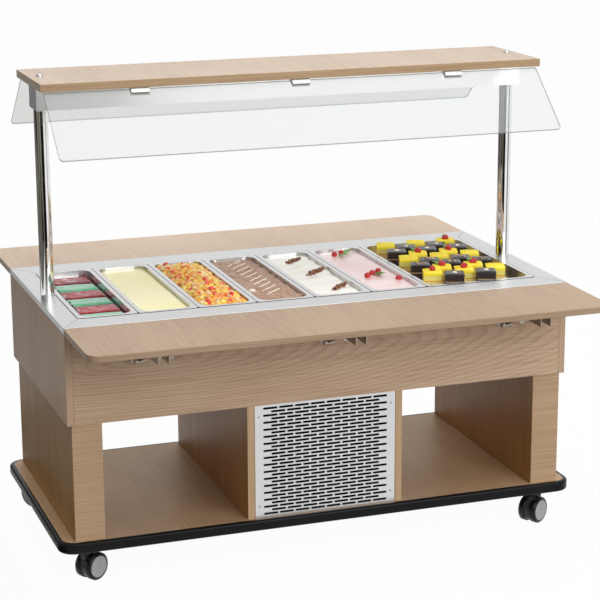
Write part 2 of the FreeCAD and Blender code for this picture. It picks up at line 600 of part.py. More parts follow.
def make_filling(label, wide, deep, x):
    # a block that fills a pan to a little under its rim, drafted and bevelled as the pan is
    filling = body(label)
    gap = "2 * (Sizes.pan_sheet + Sizes.filling_gap)"
    plan = sketch(filling, label + "_plan")
    rounded_loop(plan, "plan", f"{wide} - 2 * Sizes.pan_overhang - {gap}",
                 f"Sizes.pan_long - 2 * Sizes.pan_overhang - {gap}",
                 "Sizes.pan_corner - Sizes.pan_sheet - Sizes.filling_gap")
    mass = pad(filling, label + "_pad", plan, f"{deep} - Sizes.pan_sheet", down=True,
               draft="-Sizes.pan_draft")
    bevel_foot(filling, label + "_heel", mass)
    top = sketch(filling, label + "_level")
    polygon(top, "level", corner_points(wide, "Sizes.pan_long"))
    levelled = pocket(filling, label + "_cut", top, "Sizes.filling_drop")
    document.recompute()
    surface = -size("filling_drop")
    rim = edges_where(levelled, at_height(surface))
    ease(filling, label + "_crown", levelled, rim, "Sizes.filling_crown", bevel=True)
    keep(place(filling, x=x, z="Levels.pan_top"), label)


def make_slices(label, x):
    floor = "Levels.pan_top - Sizes.pan_deep + Sizes.pan_sheet"
    slices = []
    for index in range(int(size("slice_count"))):
        y = f"({index} - (Sizes.slice_count - 1) / 2) * Sizes.slice_pitch"
        slices.append(box(f"slice_{index + 1}", "Sizes.slice_wide", "Sizes.slice_long", "Sizes.slice_high",
                          x, y, floor))
    group(label, slices)


def make_cakes(label, x):
    # square cakes set cornerwise, each second column shifted by half a pitch
    floor = "Levels.pan_top - Sizes.cake_pan_deep + Sizes.pan_sheet"
    cakes = []
    for column in range(int(size("cake_columns"))):
        for row in range(int(size("cake_rows"))):
            lag = "-" if column % 2 else "+"
            step = f"({column} - (Sizes.cake_columns - 1) / 2)"
            cake_x = f"{x} + Sizes.cake_shift_x + {step} * Sizes.cake_pitch_x"
            cake_y = f"(2 * {row} - (Sizes.cake_rows - 1)) * Sizes.cake_pitch_y {lag} Sizes.cake_pitch_y / 2"
            cake = document.addObject("Part::Box", f"cake_{column + 1}_{row + 1}")
            bind(cake, Length="Sizes.cake_long", Width="Sizes.cake_wide", Height="Sizes.cake_high")
            cake.Placement = Placement(Vector(), Rotation(Vector(0, 0, 1), -45))
            place(cake, f"{cake_x} - (Sizes.cake_long + Sizes.cake_wide) * sqrt(2) / 4",
                  f"{cake_y} + (Sizes.cake_long - Sizes.cake_wide) * sqrt(2) / 4", floor)
            cakes.append(cake)
    group(label, cakes)


def make_pans():
    first = "-Levels.pans_length / 2"
    small_wide = "(Sizes.pan_pitch - Sizes.pan_side_gap)"
    big_wide = "(Levels.big_pan_wide - Sizes.pan_side_gap)"
    fillings = ["slices", "custard", "fruit_salad", "chocolate_mousse", "cream", "berry_mousse"]
    for index, name in enumerate(fillings):
        x = f"{first} + ({index} + 0.5) * Sizes.pan_pitch"
        make_pan(f"pan_{index + 1}", small_wide, "Sizes.pan_deep", x)
        if index == 0:
            make_slices(name, x)
        else:
            make_filling(name, small_wide, "Sizes.pan_deep", x)
    x = f"{first} + Sizes.pan_count * Sizes.pan_pitch + Levels.big_pan_wide / 2"
    make_pan("cake_pan", big_wide, "Sizes.cake_pan_deep", x)
    make_cakes("cakes", x)


# ---------------------------------------------------------------- posts, light box, overshelf


def make_posts():
    # each post is a tube clamped by a tie rod that runs from the counter up into the cap on the overshelf
    rod_long = "Levels.overshelf_top - Levels.counter_top + Sizes.post_stud_long + Sizes.rod_in_cap"
    members = []
    for name, sign in (("left", "-"), ("right", "")):
        outer = cylinder(f"{name}_tube_outside", "Sizes.post_round", "Sizes.light_box_floor",
                         f"{sign}Sizes.post_x", "0", "Levels.counter_top")
        inner = cylinder(f"{name}_tube_inside", "Sizes.post_round - Sizes.post_wall", "Sizes.light_box_floor",
                         f"{sign}Sizes.post_x", "0", "Levels.counter_top")
        members.append(cut(f"{name}_tube", outer, inner))
        members.append(cylinder(f"{name}_tie_rod", "Sizes.rod_round", rod_long, f"{sign}Sizes.post_x", "0",
                                "Levels.counter_top - Sizes.post_stud_long"))
    group("overshelf_posts", members)


def make_light_box():
    bore = "Sizes.rod_round + Sizes.stud_gap"
    shell = box("light_box_outside", "Sizes.light_box_length", "Sizes.light_box_depth",
                "Sizes.light_box_high", "0", "0", "Levels.light_box_low")
    inner = box("light_box_inside", "Sizes.light_box_length - 2 * Sizes.light_box_sheet",
                "Sizes.light_box_depth - 2 * Sizes.light_box_sheet",
                "Sizes.light_box_high - 2 * Sizes.light_box_sheet", "0", "0",
                "Levels.light_box_low + Sizes.light_box_sheet")
    slot = box("light_slot", "Sizes.diffuser_length + 2 * Sizes.side_gap",
               "Sizes.diffuser_wide + 2 * Sizes.side_gap", "Sizes.light_box_sheet", "0", "0",
               "Levels.light_box_low")
    bores = [cylinder(f"light_box_bore_{name}", bore, "Sizes.light_box_high", f"{sign}Sizes.post_x", "0",
                      "Levels.light_box_low") for name, sign in (("left", "-"), ("right", ""))]
    keep(cut("light_box_shell", shell, fuse("light_box_voids", [inner, slot] + bores)), "light_box")

    # the diffuser drops into the slot from inside and rests on its flanges
    lens = body("led_diffuser")
    section = sketch(lens, "diffuser_section", role="YZ_Plane", height="-Sizes.diffuser_length / 2")
    half = "Sizes.diffuser_wide / 2"
    wing = "(Sizes.diffuser_wide / 2 + Sizes.diffuser_flange)"
    polygon(section, "lens", [(f"-{half}", "0"), (half, "0"), (half, "Sizes.light_box_sheet"),
                              (wing, "Sizes.light_box_sheet"), (wing, "Sizes.diffuser_thick"),
                              (f"-{wing}", "Sizes.diffuser_thick"), (f"-{wing}", "Sizes.light_box_sheet"),
                              (f"-{half}", "Sizes.light_box_sheet")])
    pad(lens, "diffuser_pad", section, "Sizes.diffuser_length")
    keep(place(lens, z="Levels.light_box_low"), "led_diffuser")


def make_overshelf():
    board = body("overshelf")
    plan = sketch(board, "overshelf_outline")
    polygon(plan, "edge", corner_points("Sizes.overshelf_length", "Sizes.overshelf_depth"))
    circle_loop(plan, "left_rod", "-Sizes.post_x", "0", "Sizes.rod_round + Sizes.stud_gap")
    circle_loop(plan, "right_rod", "Sizes.post_x", "0", "Sizes.rod_round + Sizes.stud_gap")
    slab = pad(board, "overshelf_pad", plan, "Sizes.overshelf_thick")
    ease(board, "overshelf_ease", slab, edges_where(slab, board_edge), "Sizes.board_ease", bevel=True)
    seats = sketch(board, "cap_seats", height="Sizes.overshelf_thick")
    circle_loop(seats, "left_cap", "-Sizes.post_x", "0", "Sizes.cap_round + Sizes.stud_gap")
    circle_loop(seats, "right_cap", "Sizes.post_x", "0", "Sizes.cap_round + Sizes.stud_gap")
    pocket(board, "cap_counterbores", seats, "Sizes.cap_sunk")
    keep(place(board, z="Levels.overshelf_low"), "overshelf")

    # domed nuts over the ends of the tie rods, let into the board
    caps = body("post_caps")
    caps.AllowCompound = True
    section = sketch(caps, "cap_section", role="XZ_Plane")
    shoulder = "Sizes.cap_high / 2"
    bore = "Sizes.rod_round + Sizes.stud_gap"
    rod_end = "Sizes.rod_in_cap + Sizes.cap_sunk"
    polygon(section, "cap", [(bore, "0"), ("Sizes.cap_round", "0"), ("Sizes.cap_round", shoulder),
                             ("0.8 * Sizes.cap_round", "0.85 * Sizes.cap_high"),
                             ("0.4 * Sizes.cap_round", "Sizes.cap_high"), ("0", "Sizes.cap_high"),
                             ("0", rod_end), (bore, rod_end)])
    cap = revolve(caps, "cap_turned", section)
    copy = row_of(caps, "cap_row", [cap], section, "2 * Sizes.post_x", "2")
    caps.Tip = copy
    keep(place(caps, x="-Sizes.post_x", z="Levels.overshelf_top - Sizes.cap_sunk"), "post_caps")


def board_edge(edge):
    # straight level edges on a board's upper and lower faces
    first, last = edge.Vertexes[0].Point, edge.Vertexes[-1].Point
    return edge.Curve.TypeId == "Part::GeomLine" and abs(first.z - last.z) < 0.01


def row_of(owner, name, features, drawing, pitch, count):
    pattern = owner.newObject("PartDesign::LinearPattern", name)
    pattern.Originals = features
    pattern.Direction = (drawing, ["H_Axis"])
    pattern.Mode = "Spacing"
    pattern.setExpression("Offset", pitch)
    pattern.setExpression("Occurrences", count)
    return pattern


def row_along(owner, name, role, pitch, count):
    # repeats the whole piece along one of the body's own axes
    axis = [feature for feature in owner.Origin.OriginFeatures if feature.Role == role][0]
    pattern = owner.newObject("PartDesign::LinearPattern", name)
    pattern.TransformMode = "Whole shape"
    pattern.Direction = (axis, [""])
    pattern.Mode = "Spacing"
    pattern.setExpression("Offset", pitch)
    pattern.setExpression("Occurrences", count)
    owner.Tip = pattern
    return pattern


# ---------------------------------------------------------------- sneeze glasses


def make_glass(label, sign, turn):
    # a pane that slopes down and out; its frame's Y runs down the slope and its outer face is at Z = 0
    pane = body(label)
    plan = sketch(pane, label + "_outline")
    half = "Sizes.glass_length / 2"
    polygon(plan, "pane", [(f"-{half}", "Sizes.glass_head_gap"), (half, "Sizes.glass_head_gap"),
                           (half, "Levels.glass_long"), (f"-{half}", "Levels.glass_long")])
    slab = pad(pane, label + "_pad", plan, "Sizes.glass_thick", down=sign > 0)
    document.recompute()
    foot = float(levels.glass_long)

    def lower_corner(edge):
        ends = [vertex.Point for vertex in edge.Vertexes]
        return abs(ends[0].z - ends[-1].z) > 1 and abs(ends[0].y - foot) < 0.01

    ease(pane, label + "_corners", slab, edges_where(slab, lower_corner), "Sizes.glass_corner")
    lean(pane, sign, turn)
    return keep(pane, label)


def lean(piece, sign, turn):
    piece.Placement = Placement(Vector(), Rotation(Vector(1, 0, 0), 45))
    piece.setExpression("Placement.Rotation.Angle", turn)
    place(piece, y=f"{sign} * Sizes.glass_top_out", z="Levels.overshelf_low")


def make_clamps(name, sign, turn):
    # two jaws on the head of the pane, with a foot that lies under the overshelf
    clamps = body(name)
    clamps.AllowCompound = True
    drawing = sketch(clamps, name + "_section", role="YZ_Plane", height="-Sizes.clamp_long / 2")
    side = "-1" if sign > 0 else "1"
    cos, sin = "Levels.glass_cos", "Levels.glass_sin"
    grip = "(Sizes.glass_head_gap + Sizes.clamp_grip)"
    inner = "(Sizes.glass_thick + Sizes.clamp_jaw)"
    thick, wide = "Sizes.clamp_jaw", "Sizes.clamp_base_wide"
    points = [
        (f"{thick} * {cos} / {sin}", f"-{thick}"), (grip, f"-{thick}"), (grip, "0"),
        ("Sizes.glass_head_gap", "0"), ("Sizes.glass_head_gap", "Sizes.glass_thick"),
        (grip, "Sizes.glass_thick"), (grip, inner),
        (f"({thick} - {inner} * {cos}) / {sin}", inner),
        (f"{thick} * {sin} - {wide} * {cos}", f"{thick} * {cos} + {wide} * {sin}"),
        (f"-{wide} * {cos}", f"{wide} * {sin}"),
    ]
    polygon(drawing, "clamp", [(along, f"{side} * ({across})") for along, across in points])
    pad(clamps, name + "_pad", drawing, "Sizes.clamp_long")
    row_along(clamps, name + "_row", "X_Axis", "Sizes.clamp_pitch", "3")
    lean(clamps, sign, turn)
    return place(clamps, "-Sizes.clamp_pitch", f"{sign} * Sizes.glass_top_out", "Levels.overshelf_low")


def make_glasses():
    slope = "atan(Sizes.glass_drop / Sizes.glass_reach)"
    front_turn, rear_turn = f"180 deg + {slope}", f"-{slope}"
    make_glass("front_glass", -1, front_turn)
    make_glass("rear_glass", 1, rear_turn)
    clamps = [make_clamps("front_clamps", -1, front_turn), make_clamps("rear_clamps", 1, rear_turn)]
    group("glass_clamps", clamps)


# ---------------------------------------------------------------- folding shelves and consoles

# The consoles are drawn about the shelf's hinge axis: +Y points to the cabinet, -Y out to the guests.
# The rear set is the front set turned half round.


def at_hinge(piece, rear, x="0", z="Levels.hinge_z"):
    piece.Placement = Placement(Vector(), Rotation(Vector(0, 0, 1), 180 if rear else 0))
    sign = 1 if rear else -1
    return place(piece, f"{-sign} * ({x})", f"{sign} * Levels.hinge_y", z)


def make_shelf(label, rear):
    shelf = body(label)
    plan = sketch(shelf, label + "_outline", height="Sizes.hinge_below_board")
    half = "Sizes.body_length / 2"
    inner = "Sizes.hinge_out - Sizes.shelf_gap"
    outer = f"{inner} - Sizes.shelf_depth"
    polygon(plan, "shelf", [(f"-{half}", outer), (half, outer), (half, inner), (f"-{half}", inner)])
    slab = pad(shelf, label + "_pad", plan, "Sizes.shelf_thick")
    document.recompute()
    edge_y = slab.Shape.BoundBox.YMin

    def outer_corner(edge):
        ends = [vertex.Point for vertex in edge.Vertexes]
        return abs(ends[0].z - ends[-1].z) > 1 and abs(ends[0].y - edge_y) < 0.01

    rounded = ease(shelf, label + "_corners", slab, edges_where(slab, outer_corner), "Sizes.shelf_corner")
    low, high = slab.Shape.BoundBox.ZMin, slab.Shape.BoundBox.ZMax

    def rim(edge):
        return at_height(low)(edge) or at_height(high)(edge)

    ease(shelf, label + "_ease", rounded, edges_where(rounded, rim), "Sizes.board_ease", bevel=True)
    keep(at_hinge(shelf, rear), label)


def block_profile(owner, name, outline, from_x, wide):
    # a pad of a side outline, from one place along X
    drawing = sketch(owner, name + "_outline", role="YZ_Plane", height=from_x)
    polygon(drawing, name, outline)
    return pad(owner, name, drawing, wide)


def barrel(owner, name, y, z, round_expression, from_x, wide, hole=False):
    drawing = sketch(owner, name + "_circle", role="YZ_Plane", height=from_x)
    circle_loop(drawing, name, y, z, round_expression)
    if hole:
        return pocket(owner, name, drawing, wide, up=True)
    return pad(owner, name, drawing, wide)


def rectangle(y_from, y_to, z_from, z_to):
    return [(y_from, z_from), (y_to, z_from), (y_to, z_to), (y_from, z_to)]


def make_arms(label, rear):
    # an inverted channel under the shelf, round at its hinge end, in which the strut's roller runs
    channels = body(label + "_channels")
    channels.AllowCompound = True
    half = "Sizes.arm_wide / 2"
    low = "(Sizes.hinge_below_board - Sizes.arm_deep)"
    block_profile(channels, "channel", rectangle("-Sizes.arm_reach", "0", low, "Sizes.hinge_below_board"),
                  f"-{half}", "Sizes.arm_wide")
    barrel(channels, "channel_end", "0", "0", f"-{low}", f"-{half}", "Sizes.arm_wide")
    inner = "(Sizes.arm_wide / 2 - Sizes.arm_sheet)"
    inside = sketch(channels, "channel_inside", role="YZ_Plane", height=f"-{inner}")
    polygon(inside, "inside", rectangle("-2 * Sizes.arm_reach", "Sizes.arm_deep", "-2 * Sizes.arm_deep",
                                        "Sizes.hinge_below_board - Sizes.arm_sheet"))
    pocket(channels, "channel_hollow", inside, f"2 * {inner}", up=True)
    barrel(channels, "hinge_bore", "0", "0", "Sizes.hinge_pin_round + Sizes.running_gap", f"-{half}",
           "Sizes.arm_wide", hole=True)
    row_along(channels, "channel_row", "X_Axis", "Sizes.console_pitch", "3")
    at_hinge(channels, rear, "-Sizes.console_pitch")

    # the shelf's half of each hinge: a leaf under the board with one knuckle on the pin
    leaves = body(label + "_leaves")
    leaves.AllowCompound = True
    wide = "Sizes.hinge_leaf_wide"
    leaf_low = "(Sizes.hinge_below_board - Sizes.wall_plate_thick)"
    block_profile(leaves, "leaf", rectangle("-Sizes.leaf_long", "Sizes.knuckle_round", leaf_low,
                                            "Sizes.hinge_below_board"), f"-{wide} / 2", wide)
    knuckle = "Sizes.knuckle_long"
    block_profile(leaves, "web", rectangle("-Sizes.knuckle_round", "0", "0", leaf_low), f"-{knuckle} / 2",
                  knuckle)
    barrel(leaves, "knuckle", "0", "0", "Sizes.knuckle_round", f"-{knuckle} / 2", knuckle)
    barrel(leaves, "knuckle_bore", "0", "0", "Sizes.hinge_pin_round + Sizes.running_gap", f"-{knuckle} / 2",
           knuckle, hole=True)
    row_along(leaves, "leaf_row", "X_Axis", "Sizes.console_pitch", "3")
    at_hinge(leaves, rear, "Sizes.hinge_leaf_x - Sizes.console_pitch")
    group(label, [channels, leaves])


def make_wall_brackets(name, rear):
    # a clevis for the arm's hinge pin above and the strut's pivot pin below
    clevis = body(name + "_clevises")
    clevis.AllowCompound = True
    wall, face = "Sizes.hinge_out", "(Sizes.hinge_out - Sizes.wall_plate_thick)"
    low = "(-Sizes.strut_pivot_drop - Sizes.ear_round)"
    plate = "Sizes.wall_plate_wide"
    block_profile(clevis, "plate", rectangle(face, wall, low, "Sizes.ear_round"), f"-{plate} / 2", plate)
    ear_outer = "(Sizes.arm_wide / 2 - Sizes.arm_sheet - Sizes.ear_gap)"
    for tag, start in (("left", f"-{ear_outer}"), ("right", f"{ear_outer} - Sizes.ear_sheet")):
        block_profile(clevis, f"{tag}_ear", rectangle("0", face, low, "Sizes.ear_round"), start,
                      "Sizes.ear_sheet")
        barrel(clevis, f"{tag}_upper_eye", "0", "0", "Sizes.ear_round", start, "Sizes.ear_sheet")
        barrel(clevis, f"{tag}_lower_eye", "0", "-Sizes.strut_pivot_drop", "Sizes.ear_round", start,
               "Sizes.ear_sheet")
    pin = "(Sizes.arm_wide / 2 + Sizes.pin_tail)"
    barrel(clevis, "hinge_pin", "0", "0", "Sizes.hinge_pin_round", f"-{pin}", f"2 * {pin}")
    barrel(clevis, "pivot_pin", "0", "-Sizes.strut_pivot_drop", "Sizes.hinge_pin_round", f"-{ear_outer}",
           f"2 * {ear_outer}")
    row_along(clevis, "clevis_row", "X_Axis", "Sizes.console_pitch", "3")
    at_hinge(clevis, rear, "-Sizes.console_pitch")

    # the cabinet's half of each hinge: a plate with two round feet, and two knuckles on a pin
    plates = body(name + "_hinges")
    plates.AllowCompound = True
    wide = "Sizes.hinge_leaf_wide"
    block_profile(plates, "leaf", rectangle(face, wall, f"{low} + Sizes.hinge_foot_long", "Sizes.ear_round"),
                  f"-{wide} / 2", wide)
    foot = sketch(plates, "feet", role="XZ_Plane", height=f"-{wall}")
    foot_half = "Sizes.hinge_foot_wide / 2"
    foot_x = f"({wide} - Sizes.hinge_foot_wide) / 2"
    for tag, sign in (("left", "-"), ("right", "")):
        circle_loop(foot, f"{tag}_toe", f"{sign}{foot_x}", f"{low} + {foot_half}", foot_half)
    pad(plates, "toes", foot, "Sizes.wall_plate_thick")
    legs = sketch(plates, "foot_legs", role="XZ_Plane", height=f"-{wall}")
    for tag, sign in (("left", "-"), ("right", "")):
        middle = f"{sign}{foot_x}"
        polygon(legs, tag, [(f"{middle} - {foot_half}", f"{low} + {foot_half}"),
                            (f"{middle} + {foot_half}", f"{low} + {foot_half}"),
                            (f"{middle} + {foot_half}", f"{low} + Sizes.hinge_foot_long"),
                            (f"{middle} - {foot_half}", f"{low} + Sizes.hinge_foot_long")])
    pad(plates, "foot_pads", legs, "Sizes.wall_plate_thick")
    gap_edge = "(Sizes.knuckle_long / 2 + Sizes.side_gap)"
    long = f"({wide} / 2 - {gap_edge})"
    for tag, start in (("left", f"-{wide} / 2"), ("right", gap_edge)):
        block_profile(plates, f"{tag}_web", rectangle("0", face, "-Sizes.knuckle_round", "0"), start, long)
        barrel(plates, f"{tag}_knuckle", "0", "0", "Sizes.knuckle_round", start, long)
    barrel(plates, "leaf_pin", "0", "0", "Sizes.hinge_pin_round", f"-{wide} / 2", wide)
    row_along(plates, "hinge_row", "X_Axis", "Sizes.console_pitch", "3")
    at_hinge(plates, rear, "Sizes.hinge_leaf_x - Sizes.console_pitch")
    return [clevis, plates]


def make_struts(label, rear):
    # a flat strut on the lower pin, with a cross roller at the end that runs inside the arm
    struts = body(label)
    struts.AllowCompound = True
    cos, sin = "Levels.strut_cos", "Levels.strut_sin"
    half = "Sizes.strut_wide / 2"
    head_y, head_z = "-Sizes.strut_reach", "Sizes.strut_pivot_drop"
    bar = [(f"{half} * {sin}", f"{half} * {cos}"),
           (f"{head_y} + {half} * {sin}", f"{head_z} + {half} * {cos}"),
           (f"{head_y} - {half} * {sin}", f"{head_z} - {half} * {cos}"),
           (f"-{half} * {sin}", f"-{half} * {cos}")]
    block_profile(struts, "bar", bar, "-Sizes.strut_sheet / 2", "Sizes.strut_sheet")
    hub = "(Sizes.arm_wide / 2 - Sizes.arm_sheet - 2 * Sizes.ear_gap - Sizes.ear_sheet)"
    barrel(struts, "eye", "0", "0", "Sizes.strut_eye_round", f"-{hub}", f"2 * {hub}")
    barrel(struts, "roller", head_y, head_z, "Sizes.roller_round", "-Sizes.roller_wide / 2",
           "Sizes.roller_wide")
    barrel(struts, "eye_bore", "0", "0", "Sizes.hinge_pin_round + Sizes.running_gap", f"-{hub}", f"2 * {hub}",
           hole=True)
    row_along(struts, "strut_row", "X_Axis", "Sizes.console_pitch", "3")
    keep(at_hinge(struts, rear, "-Sizes.console_pitch", "Levels.pivot_z"), label)


def make_shelves():
    brackets = []
    for side, rear in (("front", False), ("rear", True)):
        make_shelf(f"{side}_shelf", rear)
        make_arms(f"{side}_shelf_arms", rear)
        make_struts(f"{side}_struts", rear)
        brackets += make_wall_brackets(f"{side}_wall", rear)
    group("shelf_wall_brackets", brackets)


# ---------------------------------------------------------------- casters


def make_caster_plates():
    plates = body("caster_plates")
    plates.AllowCompound = True
    plan = sketch(plates, "plate_outline")
    side = "Sizes.caster_plate_side"
    rounded_loop(plan, "plate", side, side, "Sizes.caster_plate_corner")
    pad(plates, "plate_pad", plan, "Sizes.caster_plate_thick", down=True)
    cup = sketch(plates, "cup_outline", height="-Sizes.caster_plate_thick")
    circle_loop(cup, "cup", "0", "0", "Sizes.swivel_cup_round")
    circle_loop(cup, "seat", "0", "0", "Sizes.swivel_stem_round + Sizes.running_gap")
    pad(plates, "cup_pad", cup, "Sizes.swivel_cup_deep", down=True)
    row_along(plates, "plate_row", "X_Axis", "2 * Levels.caster_x", "2")
    row_along(plates, "plate_grid", "Y_Axis", "2 * Levels.caster_y", "2")
    keep(place(plates, "-Levels.caster_x", "-Levels.caster_y", "Sizes.caster_height"), "caster_plates")


def make_caster(corner, x, y, turn):
    # drawn about the swivel axis, on the floor: the axle runs along X, and the wheels trail towards +Y
    housing = body(f"{corner}_caster_housing")
    half = "Sizes.hood_wide / 2"
    centre_y, centre_z = "Sizes.caster_trail", "Sizes.wheel_round"
    barrel(housing, "hood", centre_y, centre_z, "Sizes.hood_round", f"-{half}", "Sizes.hood_wide")
    boss_low = "(2 * Sizes.wheel_round + Sizes.boss_lift)"
    neck = rectangle("-Sizes.boss_round", "Sizes.caster_trail", "1.4 * Sizes.wheel_round", boss_low)
    block_profile(housing, "neck", neck, f"-{half}", "Sizes.hood_wide")
    boss = sketch(housing, "boss_outline", height=boss_low)
    circle_loop(boss, "boss", "0", "0", "Sizes.boss_round")
    pad(housing, "boss_pad", boss, f"Levels.cup_low - Sizes.side_gap - {boss_low}")
    stem = sketch(housing, "stem_outline", height=boss_low)
    circle_loop(stem, "stem", "0", "0", "Sizes.swivel_stem_round")
    pad(housing, "stem_pad", stem, f"Levels.cup_low + Sizes.swivel_cup_deep - Sizes.side_gap - {boss_low}")
    barrel(housing, "axle_bore", centre_y, centre_z, "Sizes.axle_round + Sizes.running_gap", f"-{half}",
           "Sizes.hood_wide", hole=True)
    stand_at(housing, x, y, turn)
    keep(housing, f"{corner}_caster_housing")

    # two tyred wheels on one axle, turned about the axle
    wheels = body(f"{corner}_caster_wheels")
    profile = sketch(wheels, "wheel_profile", height=centre_z)
    profile.setExpression("AttachmentOffset.Base.y", centre_y)
    inner = "(Sizes.hood_wide / 2 + Sizes.side_gap)"
    outer = f"({inner} + Sizes.wheel_wide)"
    rim, bevel = "Sizes.wheel_round", "Sizes.tyre_bevel"
    half_profile = [(outer, "0"), (outer, "Sizes.wheel_cap_round"),
                    (f"{outer} - Sizes.cap_step", "Sizes.wheel_cap_round"),
                    (f"{outer} - Sizes.cap_step", f"{rim} - {bevel}"),
                    (f"{outer} - Sizes.cap_step - {bevel}", rim), (f"{inner} + {bevel} / 2", rim),
                    (inner, f"{rim} - {bevel} / 2"), (inner, "Sizes.axle_round")]
    mirrored = [(f"-({along})", across) for along, across in reversed(half_profile)]
    polygon(profile, "wheel", half_profile + mirrored)
    revolve(wheels, "wheels_turned", profile, "H_Axis")
    stand_at(wheels, x, y, turn)
    keep(wheels, f"{corner}_caster_wheels")


def stand_at(piece, x, y, turn):
    piece.Placement = Placement(Vector(), Rotation(Vector(0, 0, 1), 45))
    piece.setExpression("Placement.Rotation.Angle", turn)
    place(piece, x, y)


def make_casters():
    make_caster_plates()
    front, rear = "Sizes.front_caster_turn", "Sizes.rear_caster_turn"
    corners = [("front_left", "-", "-", front), ("front_right", "", "-", f"{front} + 180"),
               ("rear_left", "-", "", rear), ("rear_right", "", "", f"{rear} + 180")]
    for corner, side_x, side_y, turn in corners:
        make_caster(corner, f"{side_x}Levels.caster_x", f"{side_y}Levels.caster_y", turn)


# ---------------------------------------------------------------- cooling unit


def make_compressor():
    # a domed welded can on a foot plate, with its terminal box, on four rubber feet
    can = body("compressor_can")
    profile = sketch(can, "can_profile", role="XZ_Plane")
    r, high = "Sizes.compressor_round", "Sizes.compressor_high"
    middle = f"{high} / 2"
    seam = "Sizes.compressor_seam"
    flange = f"{r} + {seam}"
    polygon(profile, "can", [("0", "0"), (f"0.72 * {r}", "0"), (r, f"0.16 * {high}"),
                             (r, f"{middle} - {seam}"), (flange, f"{middle} - {seam}"),
                             (flange, f"{middle} + {seam}"), (r, f"{middle} + {seam}"), (r, f"0.8 * {high}"),
                             (f"0.8 * {r}", f"0.93 * {high}"), (f"0.45 * {r}", high), ("0", high)])
    revolve(can, "can_turned", profile)
    foot = sketch(can, "foot_outline")
    rounded_loop(foot, "foot", "Sizes.compressor_foot_side", "Sizes.compressor_foot_side",
                 "Sizes.rubber_foot_round")
    pad(can, "foot_plate", foot, "Sizes.compressor_foot_thick", down=True)
    terminal = sketch(can, "terminal_outline", height=f"0.3 * {high}")
    polygon(terminal, "terminal", rectangle(f"-{r} - Sizes.terminal_out", "0", "-Sizes.terminal_wide / 2",
                                            "Sizes.terminal_wide / 2"))
    pad(can, "terminal_box", terminal, "Sizes.terminal_high")
    place(can, "Sizes.compressor_x", "Sizes.compressor_y",
          "Levels.deck_top + Sizes.rubber_foot_high + Sizes.compressor_foot_thick")
    spread = "(Sizes.compressor_foot_side / 2 - Sizes.rubber_foot_round)"
    members = [can]
    for index, (side_x, side_y) in enumerate([("-", "-"), ("+", "-"), ("-", "+"), ("+", "+")]):
        foot_x = f"Sizes.compressor_x {side_x} {spread}"
        foot_y = f"Sizes.compressor_y {side_y} {spread}"
        members.append(cylinder(f"rubber_foot_{index + 1}", "Sizes.rubber_foot_round",
                                "Sizes.rubber_foot_high", foot_x, foot_y, "Levels.deck_top"))
    group("compressor", members)


def make_condenser():
    # a finned block on the deck behind the front grille, with a shroud and the fan's motor on a strap
    block = body("coil_block")
    plan = sketch(block, "coil_outline")
    polygon(plan, "coil", corner_points("Sizes.coil_wide", "Sizes.coil_deep"))
    pad(block, "coil_pad", plan, "Sizes.coil_high")
    pitch = "(Sizes.coil_wide / (Sizes.fin_count + 1))"
    groove = sketch(block, "groove_outline")
    edge = "(-Sizes.coil_wide / 2 + Sizes.fin_edge)"
    far = f"{edge} + {pitch} / 2"
    polygon(groove, "groove", [(edge, "-Sizes.coil_deep / 2"), (far, "-Sizes.coil_deep / 2"),
                               (far, "-Sizes.coil_deep / 2 + Sizes.fin_deep"),
                               (edge, "-Sizes.coil_deep / 2 + Sizes.fin_deep")])
    cut_one = pocket(block, "groove", groove, "Sizes.coil_high", up=True)
    block.Tip = row_of(block, "groove_row", [cut_one], groove, pitch, "Sizes.fin_count")
    legs = "Levels.deck_top + Sizes.coil_lift"
    place(block, y="Levels.coil_front + Sizes.coil_deep / 2", z=legs)
    feet = [box(f"coil_foot_{name}", "Sizes.board_thick", "Sizes.coil_deep", "Sizes.coil_lift",
                f"{sign}(Sizes.coil_wide - Sizes.board_thick) / 2", "Levels.coil_front + Sizes.coil_deep / 2",
                "Levels.deck_top") for name, sign in (("left", "-"), ("right", ""))]

    shroud_outer = box("shroud_outside", "Sizes.coil_wide", "Sizes.shroud_deep", "Sizes.coil_high", "0",
                       "Levels.coil_back + Sizes.shroud_deep / 2", legs)
    inner_deep = "(Sizes.shroud_deep - Sizes.shroud_sheet)"
    shroud_inner = box("shroud_inside", "Sizes.coil_wide - 2 * Sizes.shroud_sheet", inner_deep,
                       "Sizes.coil_high - 2 * Sizes.shroud_sheet", "0",
                       f"Levels.coil_back + {inner_deep} / 2", f"{legs} + Sizes.shroud_sheet")
    mouth = cylinder("shroud_mouth", "Sizes.fan_round + Sizes.fan_tip_gap", "Sizes.shroud_deep", "0",
                     "Levels.shroud_back", "Levels.fan_z", axis=Vector(0, -1, 0))
    shroud = cut("shroud", shroud_outer, fuse("shroud_voids", [shroud_inner, mouth]))

    strap = box("motor_strap", "Sizes.coil_wide", "Sizes.strap_thick", "Sizes.motor_strap_wide", "0",
                "Levels.shroud_back + Sizes.strap_thick / 2", "Levels.fan_z - Sizes.motor_strap_wide / 2")
    motor = cylinder("motor_can", "Sizes.fan_motor_round", "Sizes.fan_motor_long", "0",
                     "Levels.shroud_back + Sizes.strap_thick", "Levels.fan_z", axis=Vector(0, 1, 0))
    shaft_long = "Sizes.strap_thick + Sizes.shroud_sheet + Sizes.fan_setback + Sizes.fan_hub_deep"
    shaft = cylinder("motor_shaft", "Sizes.fan_shaft_round", shaft_long, "0",
                     "Levels.shroud_back + Sizes.strap_thick", "Levels.fan_z", axis=Vector(0, -1, 0))
    group("condenser", [block] + feet + [shroud, fuse("fan_motor", [strap, motor, shaft])])


